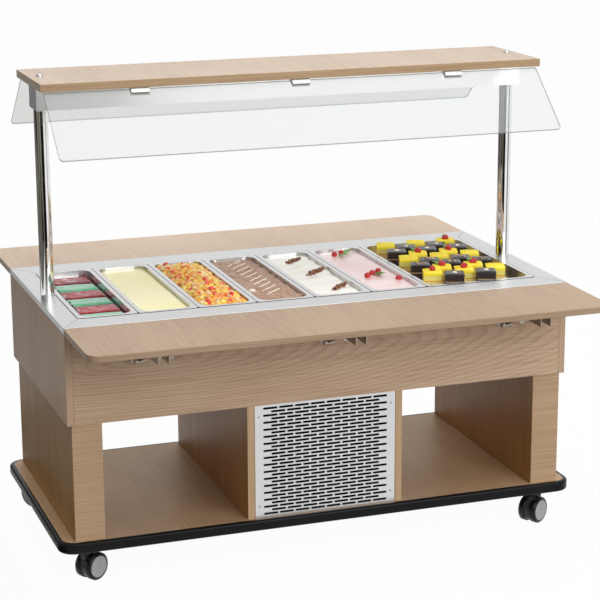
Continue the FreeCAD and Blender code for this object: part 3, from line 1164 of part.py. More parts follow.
def blade_section(radius, chord, pitch):
    # a flat blade's section across its span, tilted by its pitch about the span
    a, b = chord / 2, size("fan_blade_thick") / 2
    turned = Rotation(Vector(1, 0, 0), pitch)
    corners = [turned.multVec(Vector(0, y, z)) + Vector(radius, 0, 0)
               for y, z in ((-b, -a), (b, -a), (b, a), (-b, a))]
    return Part.makePolygon(corners + corners[:1])


def make_fan():
    # hub and twisted blades about the Y axis, in front of the motor and inside the shroud
    deep = size("fan_hub_deep")
    axis = Vector(0, 1, 0)
    hub_round = size("fan_hub_round")
    hub = Part.makeCylinder(hub_round, deep, Vector(0, -deep / 2, 0), axis)
    root = blade_section(hub_round - 2, size("fan_root_chord"), size("fan_root_pitch"))
    tip = blade_section(size("fan_round"), size("fan_tip_chord"), size("fan_tip_pitch"))
    blade = Part.makeLoft([root, tip], True, True)
    blades = []
    for index in range(int(size("fan_blades"))):
        one = blade.copy()
        one.rotate(Vector(), axis, 360 * index / size("fan_blades"))
        blades.append(one)
    bore_round = size("fan_shaft_round") + size("running_gap")
    bore = Part.makeCylinder(bore_round, deep, Vector(0, -deep / 2, 0), axis)
    rotor = document.addObject("Part::Feature", "fan_rotor")
    rotor.Shape = hub.fuse(blades).cut(bore)
    y = levels.shroud_back - size("shroud_sheet") - size("fan_setback") - deep / 2
    rotor.Placement = Placement(Vector(0, y, levels.fan_z), Rotation())
    keep(rotor, "fan_rotor")


# ---------------------------------------------------------------- controls on the rear grille


def make_controls():
    face = "Sizes.leg_depth / 2"
    bezel = box("controller_bezel", "Sizes.controller_wide + 2 * Sizes.controller_lip",
                "Sizes.controller_bezel", "Sizes.controller_high + 2 * Sizes.controller_lip",
                "Sizes.controller_x",
                f"{face} + Sizes.controller_bezel / 2",
                "Levels.control_z - Sizes.controller_high / 2 - Sizes.controller_lip")
    depth = box("controller_body", "Sizes.controller_wide", "Sizes.controller_deep", "Sizes.controller_high",
                "Sizes.controller_x", f"{face} - Sizes.controller_deep / 2",
                "Levels.control_z - Sizes.controller_high / 2")
    high = "2 * Levels.rocker_sweep"
    wide = "Sizes.switch_wide + 2 * Sizes.side_gap"
    walls = "2 * Sizes.switch_wall"
    low = "Levels.control_z - Levels.rocker_sweep"
    barrel_box = box("switch_barrel", f"{wide} + {walls}", "Sizes.switch_deep", f"{high} + {walls}",
                     "Sizes.switch_x", f"{face} - Sizes.switch_deep / 2", f"{low} - Sizes.switch_wall")
    flange = box("switch_flange", f"{wide} + {walls} + 2 * Sizes.switch_lip", "Sizes.switch_face",
                 f"{high} + {walls} + 2 * Sizes.switch_lip", "Sizes.switch_x",
                 f"{face} + Sizes.switch_face / 2", f"{low} - Sizes.switch_wall - Sizes.switch_lip")
    hollow_deep = "(Sizes.switch_deep + Sizes.switch_face - Sizes.switch_wall)"
    hollow = box("switch_hollow", wide, hollow_deep, high, "Sizes.switch_x",
                 f"{face} + Sizes.switch_face - {hollow_deep} / 2", low)
    pin_reach = "Sizes.switch_wide / 2 + Sizes.rocker_pin_long + Sizes.side_gap"
    pin_y = f"{face} + Sizes.switch_face - Sizes.rocker_front + Sizes.rocker_bend"
    bore = cylinder("switch_pin_bore", "Sizes.rocker_pin_round + Sizes.running_gap", f"2 * ({pin_reach})",
                    f"Sizes.switch_x - ({pin_reach})", pin_y, "Levels.control_z", axis=Vector(1, 0, 0))
    frame = cut("switch_frame", fuse("switch_mass", [barrel_box, flange]),
                fuse("switch_voids", [hollow, bore]))
    group("control_fittings", [fuse("controller", [bezel, depth]), frame])

    # the rocker, with the upper half of its face pressed in
    rocker = body("main_switch")
    half = "Sizes.switch_high / 2"
    front, bend, back = "Sizes.rocker_front", "Sizes.rocker_bend", "Sizes.rocker_back"
    block_profile(rocker, "rocker", [(f"-{back}", f"-{half}"), (front, f"-{half}"), (front, "0"),
                                     (f"{front} - {bend}", half), (f"-{back}", half)],
                  "-Sizes.switch_wide / 2", "Sizes.switch_wide")
    reach = "(Sizes.switch_wide / 2 + Sizes.rocker_pin_long)"
    barrel(rocker, "rocker_pins", "0", "0", "Sizes.rocker_pin_round", f"-{reach}", f"2 * {reach}")
    keep(place(rocker, "Sizes.switch_x", pin_y, "Levels.control_z"), "main_switch")


make_deck()
make_leg("left_leg", "-1")
make_leg("right_leg", "1")
make_partition("left_partition", "-1")
make_partition("right_partition", "1")
make_grilles()
make_upper_body()
make_counter()
make_pans()
make_posts()
make_light_box()
make_overshelf()
make_glasses()
make_shelves()
make_casters()
make_compressor()
make_condenser()
make_fan()
make_controls()
# a row of a whole piece settles on the second pass
document.recompute()
document.recompute()

for item in document.Objects:
    if "Invalid" in item.State or "Error" in item.State:
        raise RuntimeError(f"{item.Name} failed: {item.State}")
for label, piece in pieces.items():
    if piece.Shape.isNull() or not piece.Shape.isValid() or not piece.Shape.Solids:
        raise RuntimeError(f"{label} has no sound solid")

os.makedirs("parts", exist_ok=True)
for label, piece in pieces.items():
    piece.Shape.exportStep(f"parts/{label}.step")
    print(label, len(piece.Shape.Solids), round(piece.Shape.Volume))
print(len(pieces), "pieces")
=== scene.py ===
import json
import math

import bmesh
import bpy
from mathutils import Matrix, Vector, noise

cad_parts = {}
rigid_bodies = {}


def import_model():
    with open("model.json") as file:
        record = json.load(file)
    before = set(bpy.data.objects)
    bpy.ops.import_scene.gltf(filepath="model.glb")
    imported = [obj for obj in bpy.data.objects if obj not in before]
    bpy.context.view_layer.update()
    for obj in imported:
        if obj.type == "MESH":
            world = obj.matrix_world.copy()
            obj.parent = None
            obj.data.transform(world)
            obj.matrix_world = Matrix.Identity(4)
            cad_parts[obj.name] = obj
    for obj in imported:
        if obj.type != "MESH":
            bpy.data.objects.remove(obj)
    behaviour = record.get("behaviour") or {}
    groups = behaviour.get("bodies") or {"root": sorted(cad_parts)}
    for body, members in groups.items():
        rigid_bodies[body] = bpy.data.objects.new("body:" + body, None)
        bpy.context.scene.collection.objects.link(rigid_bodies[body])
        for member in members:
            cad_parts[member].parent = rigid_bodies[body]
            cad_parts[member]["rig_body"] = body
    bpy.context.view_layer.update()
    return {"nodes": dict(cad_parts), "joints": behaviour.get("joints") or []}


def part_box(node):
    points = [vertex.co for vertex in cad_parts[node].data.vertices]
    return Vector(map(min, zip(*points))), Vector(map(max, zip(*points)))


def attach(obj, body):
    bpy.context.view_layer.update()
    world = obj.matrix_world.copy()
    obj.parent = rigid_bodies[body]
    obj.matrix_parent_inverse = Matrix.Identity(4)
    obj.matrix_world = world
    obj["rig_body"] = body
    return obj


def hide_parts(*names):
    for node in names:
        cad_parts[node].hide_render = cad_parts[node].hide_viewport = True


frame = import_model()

cadNodes = frame["nodes"]
millimetre = 0.001


# sockets, trees and finishes


class Wire:
    # one output of a node; arithmetic on it adds nodes to the same tree
    def __init__(self, board, node, output=0):
        self.board = board
        self.node = node
        self.socket = node.outputs[output] if len(node.outputs) else None

    def out(self, output):
        return Wire(self.board, self.node, output)

    def isVector(self):
        return self.socket.type == "VECTOR"

    def combine(self, operation, first, second):
        pair = [first, second]
        if any(isinstance(value, tuple) or (isinstance(value, Wire) and value.isVector()) for value in pair):
            pair = [(value,) * 3 if isinstance(value, (int, float)) else value for value in pair]
            return self.board.add("ShaderNodeVectorMath", {"operation": operation}, enumerate(pair))
        return self.board.add("ShaderNodeMath", {"operation": operation}, enumerate(pair))

    def only(self, operation, *others):
        return self.board.add("ShaderNodeMath", {"operation": operation}, enumerate((self,) + others))

    def __add__(self, other):
        return self.combine("ADD", self, other)

    def __radd__(self, other):
        return self.combine("ADD", other, self)

    def __sub__(self, other):
        return self.combine("SUBTRACT", self, other)

    def __rsub__(self, other):
        return self.combine("SUBTRACT", other, self)

    def __mul__(self, other):
        return self.combine("MULTIPLY", self, other)

    def __rmul__(self, other):
        return self.combine("MULTIPLY", other, self)

    def __truediv__(self, other):
        return self.combine("DIVIDE", self, other)

    def __rtruediv__(self, other):
        return self.combine("DIVIDE", other, self)

    def __mod__(self, other):
        return self.combine("FLOORED_MODULO", self, other)

    def __rmod__(self, other):
        return self.combine("FLOORED_MODULO", other, self)

    def __abs__(self):
        return self.only("ABSOLUTE")

    def __gt__(self, other):
        return self.only("GREATER_THAN", other)

    def __lt__(self, other):
        # also what python takes for a plain number > wire
        return self.only("LESS_THAN", other)

    def length(self):
        return self.board.add("ShaderNodeVectorMath", {"operation": "LENGTH"}, {0: self}).out("Value")

    def split(self):
        parts = self.board.add("ShaderNodeSeparateXYZ", {}, {"Vector": self})
        return parts.out("X"), parts.out("Y"), parts.out("Z")

    def between(self, low, high):
        # 0 below low, 1 above high, smooth on the way
        limits = {"Value": self, "From Min": low, "From Max": high}
        return self.board.add("ShaderNodeMapRange", {"interpolation_type": "SMOOTHSTEP"}, limits)


class Board:
    # a node tree that add() fills: a node's type, its settings, then what its sockets are given
    def __init__(self, tree):
        self.tree = tree

    def add(self, kind, settings=(), inputs=()):
        node = self.tree.nodes.new(kind)
        for name, value in dict(settings).items():
            if name == "stops":
                setStops(node.color_ramp, value)
            else:
                setattr(node, name, value)
        for name, value in dict(inputs).items():
            if isinstance(value, Wire):
                self.tree.links.new(value.socket, node.inputs[name])
            else:
                node.inputs[name].default_value = value
        return Wire(self, node)

    def blend(self, amount, under, over, mode="MIX"):
        settings = {"data_type": "RGBA", "blend_type": mode}
        return self.add("ShaderNodeMix", settings, {0: amount, 6: under, 7: over}).out(2)

    def ramp(self, value, *stops):
        return self.add("ShaderNodeValToRGB", {"stops": stops}, {"Fac": value})

    def cloud(self, point, scale, detail=3.0, roughness=0.5):
        inputs = {"Vector": point, "Scale": scale, "Detail": detail, "Roughness": roughness}
        return self.add("ShaderNodeTexNoise", {}, inputs)

    def bump(self, height, depth, strength=1.0):
        return self.add("ShaderNodeBump", {}, {"Height": height, "Distance": depth, "Strength": strength})


def setStops(ramp, stops):
    while len(ramp.elements) < len(stops):
        ramp.elements.new(0.5)
    for element, (place, shade) in zip(ramp.elements, stops):
        element.position = place
        element.color = colour(shade)


def colour(code):
    # a red-green-blue code as it looks on a screen, in the linear values that the shaders take
    levels = [int(code[start:start + 2], 16) / 255 for start in (0, 2, 4)]
    linear = [level / 12.92 if level <= 0.04045 else ((level + 0.055) / 1.055) ** 2.4 for level in levels]
    return (*linear, 1.0)


def mixCodes(first, second, share):
    # the colour code that lies share of the way from the first to the second
    pairs = [(int(first[i:i + 2], 16), int(second[i:i + 2], 16)) for i in (0, 2, 4)]
    return "".join(f"{round(a + (b - a) * share):02x}" for a, b in pairs)


def emptyMaterial(name):
    material = bpy.data.materials.new(name)
    material.use_nodes = True
    material.node_tree.nodes.clear()
    return material, Board(material.node_tree)


def makeFinish(name, plain, paint):
    # paint() gets the board, the object coordinates and the object's own normal, and returns varied sockets
    material, board = emptyMaterial(name)
    where = board.add("ShaderNodeTexCoord")
    varied = paint(board, where.out("Object"), where.out("Normal"))
    shader = board.add("ShaderNodeBsdfPrincipled", {}, {**plain, **varied})
    board.add("ShaderNodeOutputMaterial", {}, {"Surface": shader})
    return material


# wood
oak = {
    "ringWidth": 0.0044,        # one year's growth
    "heartDepth": 0.060,        # how far the log's middle lies behind the face
    "lean": 0.085,              # how much nearer it comes along the board
    "opening": 0.55,            # the smaller, the wider the arrows open
    "waver": 0.014,             # how far the rings wander
    "ripple": 0.0045,           # how far they tremble
    "lateWood": (0.35, 0.90),   # where in a year the dark wood starts and is full
    "fibres": 800.0,            # of each of these to the metre, across the grain
    "streaks": 210.0,
    "pores": 1300.0,
    "lateTone": 0.27,           # how much each of them darkens the wood
    "fibreTone": 0.60,
    "streakTone": 1.00,
    "castTone": 0.70,
    "poreTone": 0.30,
    "startTone": 0.26,
    # the tint of the painted shade laid on faces in the bays and under overhangs
    "darkening": (0.74, 0.58, 0.29, 1.0),
}
grainTurn = {"x": (0, 0, 0), "y": (0, 0, -math.pi / 2), "z": (0, math.pi / 2, 0)}


def oakGrain(board, point, face, cutting):
    # growth rings as a face shows them: arrows where it is cut flat, straight lines where it is not
    along, heart, phase, arrows, deep = cutting
    local = board.add("ShaderNodeMapping", {}, {"Vector": point - heart, "Rotation": grainTurn[along]})

    def drawnOut(lengthwise, crosswise, shift=(0.0, 0.0, 0.0), detail=2.0):
        # noise that runs along the grain
        return board.cloud(local * (lengthwise, crosswise, crosswise) + shift, 1.0, detail)

    run, second, third = local.split()
    sideways = third if face == "y" else second
    wander = drawnOut(1.3, 7.0, (phase, phase, phase)) - 0.5
    ripple = drawnOut(5.0, 30.0, (phase, 0.0, 0.0)) - 0.5
    if arrows:
        depth = oak["heartDepth"] + run * oak["lean"] + wander * oak["waver"]
        rings = board.add("ShaderNodeCombineXYZ", {}, {"X": depth, "Y": sideways * oak["opening"]}).length()
    else:
        rings = sideways + wander * oak["waver"]
    year = ((rings + ripple * oak["ripple"]) / oak["ringWidth"]) % 1.0
    start, full = oak["lateWood"]
    late = year.between(start, full) * (1 - year.between(full, 1.0))
    fibre = drawnOut(9.0, oak["fibres"])
    streak = drawnOut(4.0, oak["streaks"])
    pores = drawnOut(55.0, oak["pores"], detail=1.0)
    pore = pores.between(0.60, 0.72) * (1 - late * 0.75)
    cast = drawnOut(1.0, 5.0, (phase, 3.0, 1.0))
    return late * (1.0 if arrows else 0.5), fibre, streak, pore, cast, deep


def oakFinish(name, faces, light, dark):
    # faces: for the faces whose normal is x, y or z the grain's direction, the log's middle, a chance number,
    # whether the rings show as arrows, and how much painted shade darkens the face
    def paint(board, point, normal):
        across = dict(zip("xyz", normal.split()))
        grain = None
        for axis, cutting in faces.items():
            one = oakGrain(board, point, axis, cutting)
            if grain is None:
                grain = one
                continue
            here = abs(across[axis]) > 0.7
            grain = [here * new + (1 - here) * old for new, old in zip(one, grain)]
        late, fibre, streak, pore, cast, deep = grain
        tone = late * oak["lateTone"] + (fibre - 0.5) * oak["fibreTone"] + (streak - 0.5) * oak["streakTone"]
        tone = tone + (cast - 0.5) * oak["castTone"] + oak["startTone"]
        wood = board.ramp(tone, (0.0, light), (0.5, mixCodes(light, dark, 0.45)), (1.0, dark))
        wood = board.blend(pore * oak["poreTone"], wood, colour(mixCodes(dark, "3b2616", 0.5)))
        # painted shade: each face darkened by its share, as faces in shade look
        wood = board.blend(deep, wood, oak["darkening"], "MULTIPLY")
        height = fibre * 0.35 - pore * 0.9 - late * 0.2
        return {
            "Base Color": wood,
            "Roughness": 0.46 + (fibre - 0.5) * 0.18 + pore * 0.15,
            "Normal": board.bump(height, 0.0004, 0.4),
        }
    return makeFinish(name, {"Coat Weight": 0.08, "Coat Roughness": 0.35, "Specular IOR Level": 0.35}, paint)


# metals, glass, rubber and plastics
brush = {"along": 14.0, "across": 1500.0, "smudges": 5.0, "depth": 0.00006}   # marks to the metre, and how deep


def tinted(board, value, shade, darker, paler, low=0.2, high=0.8):
    # the shade, darker by so much where the value is low and paler where it is high
    return board.ramp(value, (low, mixCodes(shade, "000000", darker)), (high, mixCodes(shade, "ffffff", paler)))


def brushMarks(board, point):
    return board.cloud(point * (brush["along"], brush["across"], brush["across"]), 1.0, 2.0)


def brushedPaint(board, point, shade, roughness, scratch):
    # fine scratches along x over broad smudges
    marks = brushMarks(board, point)
    smudge = board.cloud(point, brush["smudges"], 3.0)
    tone = (marks - 0.5) * 0.30 * scratch + (smudge - 0.5) * 0.25 + 0.5
    return {
        "Base Color": tinted(board, tone, shade, 0.12, 0.12),
        "Roughness": roughness + (marks - 0.5) * 0.16 * scratch + (smudge - 0.5) * 0.10,
        "Normal": board.bump(marks, brush["depth"] * scratch, 0.35),
    }


def brushedFinish(name, shade, roughness, scratch=1.0):
    def paint(board, point, normal):
        return brushedPaint(board, point, shade, roughness, scratch)
    return makeFinish(name, {"Metallic": 1.0}, paint)


# half the counter's length and depth, outside and round the pans, and the fine joints in its corners
counter = {"outer": (0.705, 0.347), "inner": (0.651, 0.268), "joint": (0.0004, 0.0016), "jointShade": "4a4b4c"}


def counterFinish(name, shade, roughness):
    # brushed steel whose four corners are mitred, with a fine dark joint along each mitre
    outer, inner = counter["outer"], counter["inner"]
    run, rise = outer[0] - inner[0], outer[1] - inner[1]

    def paint(board, point, normal):
        across, along, _ = point.split()
        offLine = abs((abs(across) - inner[0]) * rise - (abs(along) - inner[1]) * run) / math.hypot(run, rise)
        corner = (abs(across) > inner[0]) * (abs(along) > inner[1])
        joint = (1 - offLine.between(*counter["joint"])) * corner
        painted = brushedPaint(board, point, shade, roughness, 1.0)
        painted["Base Color"] = board.blend(joint * 0.7, painted["Base Color"], colour(counter["jointShade"]))
        return painted
    return makeFinish(name, {"Metallic": 1.0}, paint)


def lightBoxFinish(name, shade, roughness):
    # polished steel whose long sides glow faintly: painted light that brightens them, though they are no lamp
    def paint(board, point, normal):
        marks = brushMarks(board, point)
        longSide = abs(normal.split()[1]).between(0.5, 0.9)
        return {
            "Base Color": tinted(board, marks, shade, 0.06, 0.0),
            "Roughness": roughness + (marks - 0.5) * 0.08,
            # painted light: a faint white glow on the long sides
            "Emission Color": board.blend(longSide, colour("000000"), colour("ffffff")),
        }
    return makeFinish(name, {"Metallic": 1.0, "Emission Strength": 0.22}, paint)


# how far the first rim lies outside the opening, half a pan's length, from what height it is rim, how the seam
# line fades, and the shade of that painted shadow
panRim = {"margin": 0.001, "halfLong": 0.265, "level": 0.698, "line": (0.0006, 0.0026), "lineShade": "3c3d3e"}


def panFinish(name, shade, roughness, pitch):
    # smooth pressed steel with a fine dark line, painted shadow, where a rim meets the next one and the counter
    def paint(board, point, normal):
        across, along, upwards = point.split()
        marks = board.cloud(point * (brush["across"], brush["along"], brush["across"]), 1.0, 2.0)
        inPitch = abs(((across + counter["inner"][0] - panRim["margin"]) / pitch) % 1.0 - 0.5)
        beside = (0.5 - inPitch) * pitch
        ending = panRim["halfLong"] - abs(along)
        # painted shadow along the seams between the rims and the counter
        line = 1 - beside.only("MINIMUM", ending).between(*panRim["line"])
        line = line * (upwards > panRim["level"])
        steel = tinted(board, marks, shade, 0.10, 0.10)
        return {
            "Base Color": board.blend(line * 0.8, steel, colour(panRim["lineShade"])),
            "Roughness": roughness + (marks - 0.5) * 0.12,
            "Normal": board.bump(marks, 0.00004, 0.3),
        }
    return makeFinish(name, {"Metallic": 1.0}, paint)


def mirrorFinish(name, shade, roughness):
    def paint(board, point, normal):
        haze = board.cloud(point, 22.0, 4.0)
        return {
            "Base Color": tinted(board, haze, shade, 0.06, 0.0, 0.3, 0.7),
            "Roughness": roughness + haze.between(0.45, 0.8) * 0.07,
        }
    return makeFinish(name, {"Metallic": 1.0}, paint)


def mouldedFinish(name, shade, roughness, grainSize=900.0, grainDepth=0.00012, coat=0.0, shine=0.5):
    def paint(board, point, normal):
        pits = board.cloud(point, grainSize, 2.0)
        dust = board.cloud(point, 14.0, 4.0)
        return {
            "Base Color": tinted(board, dust, shade, 0.10, 0.05, 0.3, 0.75),
            "Roughness": roughness + (pits - 0.5) * 0.12 + (dust - 0.5) * 0.12,
            "Normal": board.bump(pits, grainDepth, 0.4),
        }
    plain = {"Coat Weight": coat, "Coat Roughness": 0.25, "Specular IOR Level": shine}
    return makeFinish(name, plain, paint)


glassLow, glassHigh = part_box("front_glass")
glassRun = glassHigh - glassLow
glassSlope = {
    "along": -glassRun.y / math.hypot(glassRun.y, glassRun.z),
    "rise": -glassRun.z / math.hypot(glassRun.y, glassRun.z),
}


def glassFinish(name):
    # clear over the panes, greener and less clear on the cut edges; the rear pane leans the other way
    def paint(board, point, normal):
        sideways, towards, upwards = normal.split()
        mirrored = 1 - (point.split()[1] > 0.0) * 2
        inPlane = abs(sideways) + abs(towards * mirrored * glassSlope["along"] + upwards * glassSlope["rise"])
        edge = inPlane.between(0.35, 0.75)
        smear = board.cloud(point * (3.0, 3.0, 9.0), 1.0, 3.0)
        return {
            "Base Color": board.blend(edge, colour("c4cac9"), colour("93a29e")),
            "Alpha": 0.20 + edge * 0.50,
            "Roughness": 0.03 + smear.between(0.5, 0.9) * 0.05,
        }
    return makeFinish(name, {"IOR": 1.45, "Specular IOR Level": 0.5}, paint)


def lampFinish(name):
    def paint(board, point, normal):
        chips = board.cloud(point * (60.0, 6.0, 6.0), 1.0, 1.0)
        return {
            "Base Color": board.blend(chips, colour("f4f4f2"), colour("ffffff")),
            "Emission Color": board.blend(chips, colour("fdfbf5"), colour("ffffff")),
        }
    return makeFinish(name, {"Emission Strength": 1.6, "Roughness": 0.5}, paint)


def foamFinish(name):
    def paint(board, point, normal):
        cells = board.add("ShaderNodeTexVoronoi", {}, {"Vector": point, "Scale": 420.0})
        return {
            "Base Color": board.ramp(cells, (0.0, "c9bb8e"), (0.6, "e6dbb4")),
            "Roughness": 0.85 + (cells - 0.5) * 0.1,
            "Normal": board.bump(cells, 0.0006, 0.5),
        }
    return makeFinish(name, {}, paint)


def finFinish(name):
    # thin dark fins standing side by side, with painted shade in the gaps between them; their near-black is
    # painted shade for the inside of the cabinet
    def paint(board, point, normal):
        across = point.split()[0]
        fin = (across * 420.0) % 1.0
        shade = board.ramp(fin, (0.0, "0e0f10"), (0.4, "2c2e30"), (1.0, "18191a"))
        return {"Base Color": shade, "Roughness": 0.35 + fin * 0.1, "Normal": board.bump(fin, 0.0005, 0.6)}
    return makeFinish(name, {"Metallic": 0.9}, paint)


wheelLook = {"hubRadius": 0.0285, "hubEdge": 0.0008}


def tyreFinish(name, middle, axle):
    # a black tread round a pale hub disc
    def paint(board, point, normal):
        offset = point - middle
        beside = board.add("ShaderNodeVectorMath", {"operation": "DOT_PRODUCT"}, {0: offset, 1: axle})
        onAxle = board.add("ShaderNodeVectorMath", {"operation": "SCALE"}, {0: axle, "Scale": beside.out("Value")})
        radius = (offset - onAxle).length()
        tread = radius.between(wheelLook["hubRadius"], wheelLook["hubRadius"] + wheelLook["hubEdge"])
        scuff = board.cloud(point, 160.0, 4.0)
        black = board.ramp(scuff, (0.3, "060607"), (0.8, "101011"))
        grey = board.ramp(scuff, (0.3, "b4b6b9"), (0.8, "c9cbcd"))
        return {
            "Base Color": board.blend(tread, grey, black),
            "Roughness": 0.30 + (1 - tread) * 0.12 + (scuff - 0.5) * 0.15,
            "Normal": board.bump(scuff, 0.0002, 0.3),
        }
    return makeFinish(name, {"Coat Weight": 0.1, "Coat Roughness": 0.2, "Specular IOR Level": 0.2}, paint)


# carrying the CAD nodes over: below this angle faces shade smoothly, and an eased piece's faces over this area
# (square metres) shade flat
shading = {"smoothBelow": 40, "flatOver": 0.0004}


def wholeFaces(name):
    # the node's loose triangles joined, with its flat faces made whole
    shape = bmesh.new()
    shape.from_mesh(cadNodes[name].data)
    bmesh.ops.remove_doubles(shape, verts=shape.verts, dist=0.00002)
    flat = {"angle_limit": math.radians(0.6), "verts": shape.verts, "edges": shape.edges}
    bmesh.ops.dissolve_limit(shape, use_dissolve_boundaries=False, **flat)
    return shape


def bodyOf(name):
    return cadNodes[name]["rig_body"]


def putPiece(name, mesh, body, smoothBelow=shading["smoothBelow"], flatOver=math.inf):
    # a plain mesh as a piece of the object: it rides on a body and keeps the finish its mesh carries
    mesh.set_sharp_from_angle(angle=math.radians(smoothBelow))
    for polygon in mesh.polygons:
        polygon.use_smooth = polygon.area < flatOver
    piece = bpy.data.objects.new(name, mesh)
    bpy.context.scene.collection.objects.link(piece)
    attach(piece, body)
    return piece


def finishedMesh(carrier):
    # what an object's modifiers make of it, as a plain mesh
    bpy.context.scene.collection.objects.link(carrier)
    bpy.context.view_layer.update()
    evaluated = carrier.evaluated_get(bpy.context.evaluated_depsgraph_get())
    mesh = bpy.data.meshes.new_from_object(evaluated)
    bpy.data.objects.remove(carrier)
    return mesh


def carryOver(name, finish, easing=0.0):
    # stands for a CAD node, with its edges eased by so much and its finish on
    shape = wholeFaces(name)
    mesh = bpy.data.meshes.new(name + "_surface")
    shape.to_mesh(mesh)
    shape.free()
    mesh.materials.clear()
    mesh.materials.append(finish)
    if easing:
        carrier = bpy.data.objects.new(name + "_carrier", mesh)
        edge = carrier.modifiers.new("easedEdges", "BEVEL")
        edge.width = easing
        edge.segments = 2
        edge.limit_method = "ANGLE"
        edge.angle_limit = math.radians(shading["smoothBelow"])
        edge.use_clamp_overlap = True
        mesh = finishedMesh(carrier)
    flatOver = shading["flatOver"] if easing else math.inf
    piece = putPiece(name + "_finished", mesh, bodyOf(name), flatOver=flatOver)
    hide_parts(name)


# Geometry Nodes

socketKinds = {int: "NodeSocketInt", float: "NodeSocketFloat", tuple: "NodeSocketVector"}


def growMesh(name, sizes, finish, layOut, ground=None):
    # builds a tree with the sizes as its named inputs, runs it and keeps what it makes as a plain mesh
    tree = bpy.data.node_groups.new(name + "Layout", "GeometryNodeTree")
    face = tree.interface
    face.new_socket("Geometry", in_out="INPUT", socket_type="NodeSocketGeometry")
    keys = {}
    for word, value in sizes.items():
        keys[word] = face.new_socket(word, in_out="INPUT", socket_type=socketKinds[type(value)]).identifier
    face.new_socket("Geometry", in_out="OUTPUT", socket_type="NodeSocketGeometry")
    board = Board(tree)
    entry = board.add("NodeGroupInput")
    given = {word: entry.out(word) for word in sizes}
    grown = layOut(board, entry.out("Geometry"), given)
    grown = board.add("GeometryNodeRealizeInstances", {}, {"Geometry": grown})
    grown = board.add("GeometryNodeSetMaterial", {}, {"Geometry": grown, "Material": finish})
    board.add("NodeGroupOutput", {}, {"Geometry": grown})
    carrier = bpy.data.objects.new(name + "Carrier", ground or bpy.data.meshes.new(name + "Ground"))
    layout = carrier.modifiers.new("layout", "NODES")
    layout.node_group = tree
    for word, value in sizes.items():
        layout[keys[word]] = value
    mesh = finishedMesh(carrier)
    print(name, len(mesh.polygons), "faces")
    return mesh


def place(board, geometry, move=(0, 0, 0), turn=(0, 0, 0), scale=(1, 1, 1)):
    inputs = {"Geometry": geometry, "Translation": move, "Rotation": turn, "Scale": scale}
    return board.add("GeometryNodeTransform", {}, inputs)


def join(board, *geometries):
    made = board.add("GeometryNodeJoinGeometry")
    for geometry in reversed(geometries):
        board.tree.links.new(geometry.socket, made.node.inputs["Geometry"])
    return made


def pointMesh(name, places):
    mesh = bpy.data.meshes.new(name)
    mesh.from_pydata([tuple(p) for p in places], [], [])
    return mesh


def shapeMesh(name, fill):
    # a plain mesh of what fill() puts in
    build = bmesh.new()
    fill(build)
    mesh = bpy.data.meshes.new(name)
    build.to_mesh(mesh)
    build.free()
    return mesh


# finishes of this salad bar
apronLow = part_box("front_apron")[0]

# the oak's tones differ board by board partly as painted light and shade: darker copies where a board sits in
# shade, paler ones where more light falls; the aprons' oak is a paler copy, painted light on their fronts
apronOak = oakFinish("apronOak", {
    "x": ("x", (0.0, 0.0, 0.57), 1.0, False, 0.0),
    "y": ("x", (0.20, apronLow.y, 0.60), 2.0, True, 0.0),
}, light="e8ccb0", dark="b08c6e")
endOak = oakFinish("endPanelOak", {
    "x": ("z", (0.705, -0.08, 0.55), 4.0, False, 0.10),
    "y": ("z", (0.70, -0.347, 0.50), 5.0, False, 0.0),
}, light="dcbfa4", dark="a88468")
legOak = oakFinish("legOak", {
    "x": ("z", (0.69, 0.05, 0.30), 6.0, False, 1.0),
    "y": ("x", (0.60, -0.342, 0.30), 7.0, False, 0.0),
}, light="d8b896", dark="9c7856")
partitionOak = oakFinish("partitionOak", {
    "x": ("z", (0.20, 0.05, 0.28), 8.0, False, 1.0),
    "y": ("z", (0.20, -0.342, 0.28), 9.0, False, 0.0),
}, light="e2c29c", dark="a88460")
deckOak = oakFinish("deckOak", {
    "z": ("y", (0.15, 0.0, 0.128), 10.0, True, 0.40),
    "y": ("x", (0.0, -0.36, 0.118), 3.0, False, 0.0),
}, light="dcc0a0", dark="b08e6c")
# the front shelf: a darker copy of the oak, painted shade from the overshelf above it
shelfOak = oakFinish("shelfOak", {
    "z": ("y", (0.25, 0.0, 0.704), 11.0, False, 0.10),
    "y": ("x", (0.0, -0.6158, 0.695), 12.0, False, 0.10),
}, light="baa188", dark="8f7259")
# the rear shelf: a paler copy of the oak, painted light
rearShelfOak = oakFinish("rearShelfOak", {
    "z": ("y", (-0.3, 0.0, 0.704), 15.0, False, 0.0),
    "y": ("x", (0.0, 0.6158, 0.695), 16.0, False, 0.10),
}, light="dcc4ac", dark="b2977e")
# the overshelf: a paler, greyer copy of the oak, painted light and sheen on its top
overshelfOak = oakFinish("overshelfOak", {
    "z": ("y", (-0.2, 0.0, 1.297), 13.0, False, 0.0),
    "y": ("x", (0.0, -0.1535, 1.286), 14.0, False, 0.65),
}, light="ccb8a4", dark="9e826c")
counterSteel = counterFinish("counterSteel", "dadbdb", 0.34)
panSteel = panFinish("panSteel", "d6d6d6", 0.26, 0.1625)
widePanSteel = panFinish("widePanSteel", "d6d6d6", 0.26, 0.325)
grilleSteel = brushedFinish("grilleSteel", "d9dadb", 0.38)
lightBoxSteel = lightBoxFinish("lightBoxSteel", "fafafb", 0.17)
postChrome = mirrorFinish("postChrome", "eceded", 0.045)
trimChrome = mirrorFinish("trimChrome", "e2e3e4", 0.10)
screwSteel = mirrorFinish("screwSteel", "b9babb", 0.24)
bracketZinc = brushedFinish("bracketZinc", "a59c90", 0.42, scratch=0.5)
clampSteel = brushedFinish("clampSteel", "d0d2d3", 0.42, scratch=0.5)
compressorBlack = mouldedFinish("compressorBlack", "1a1a1b", 0.42, coat=0.2)
condenserFins = finFinish("condenserFins")
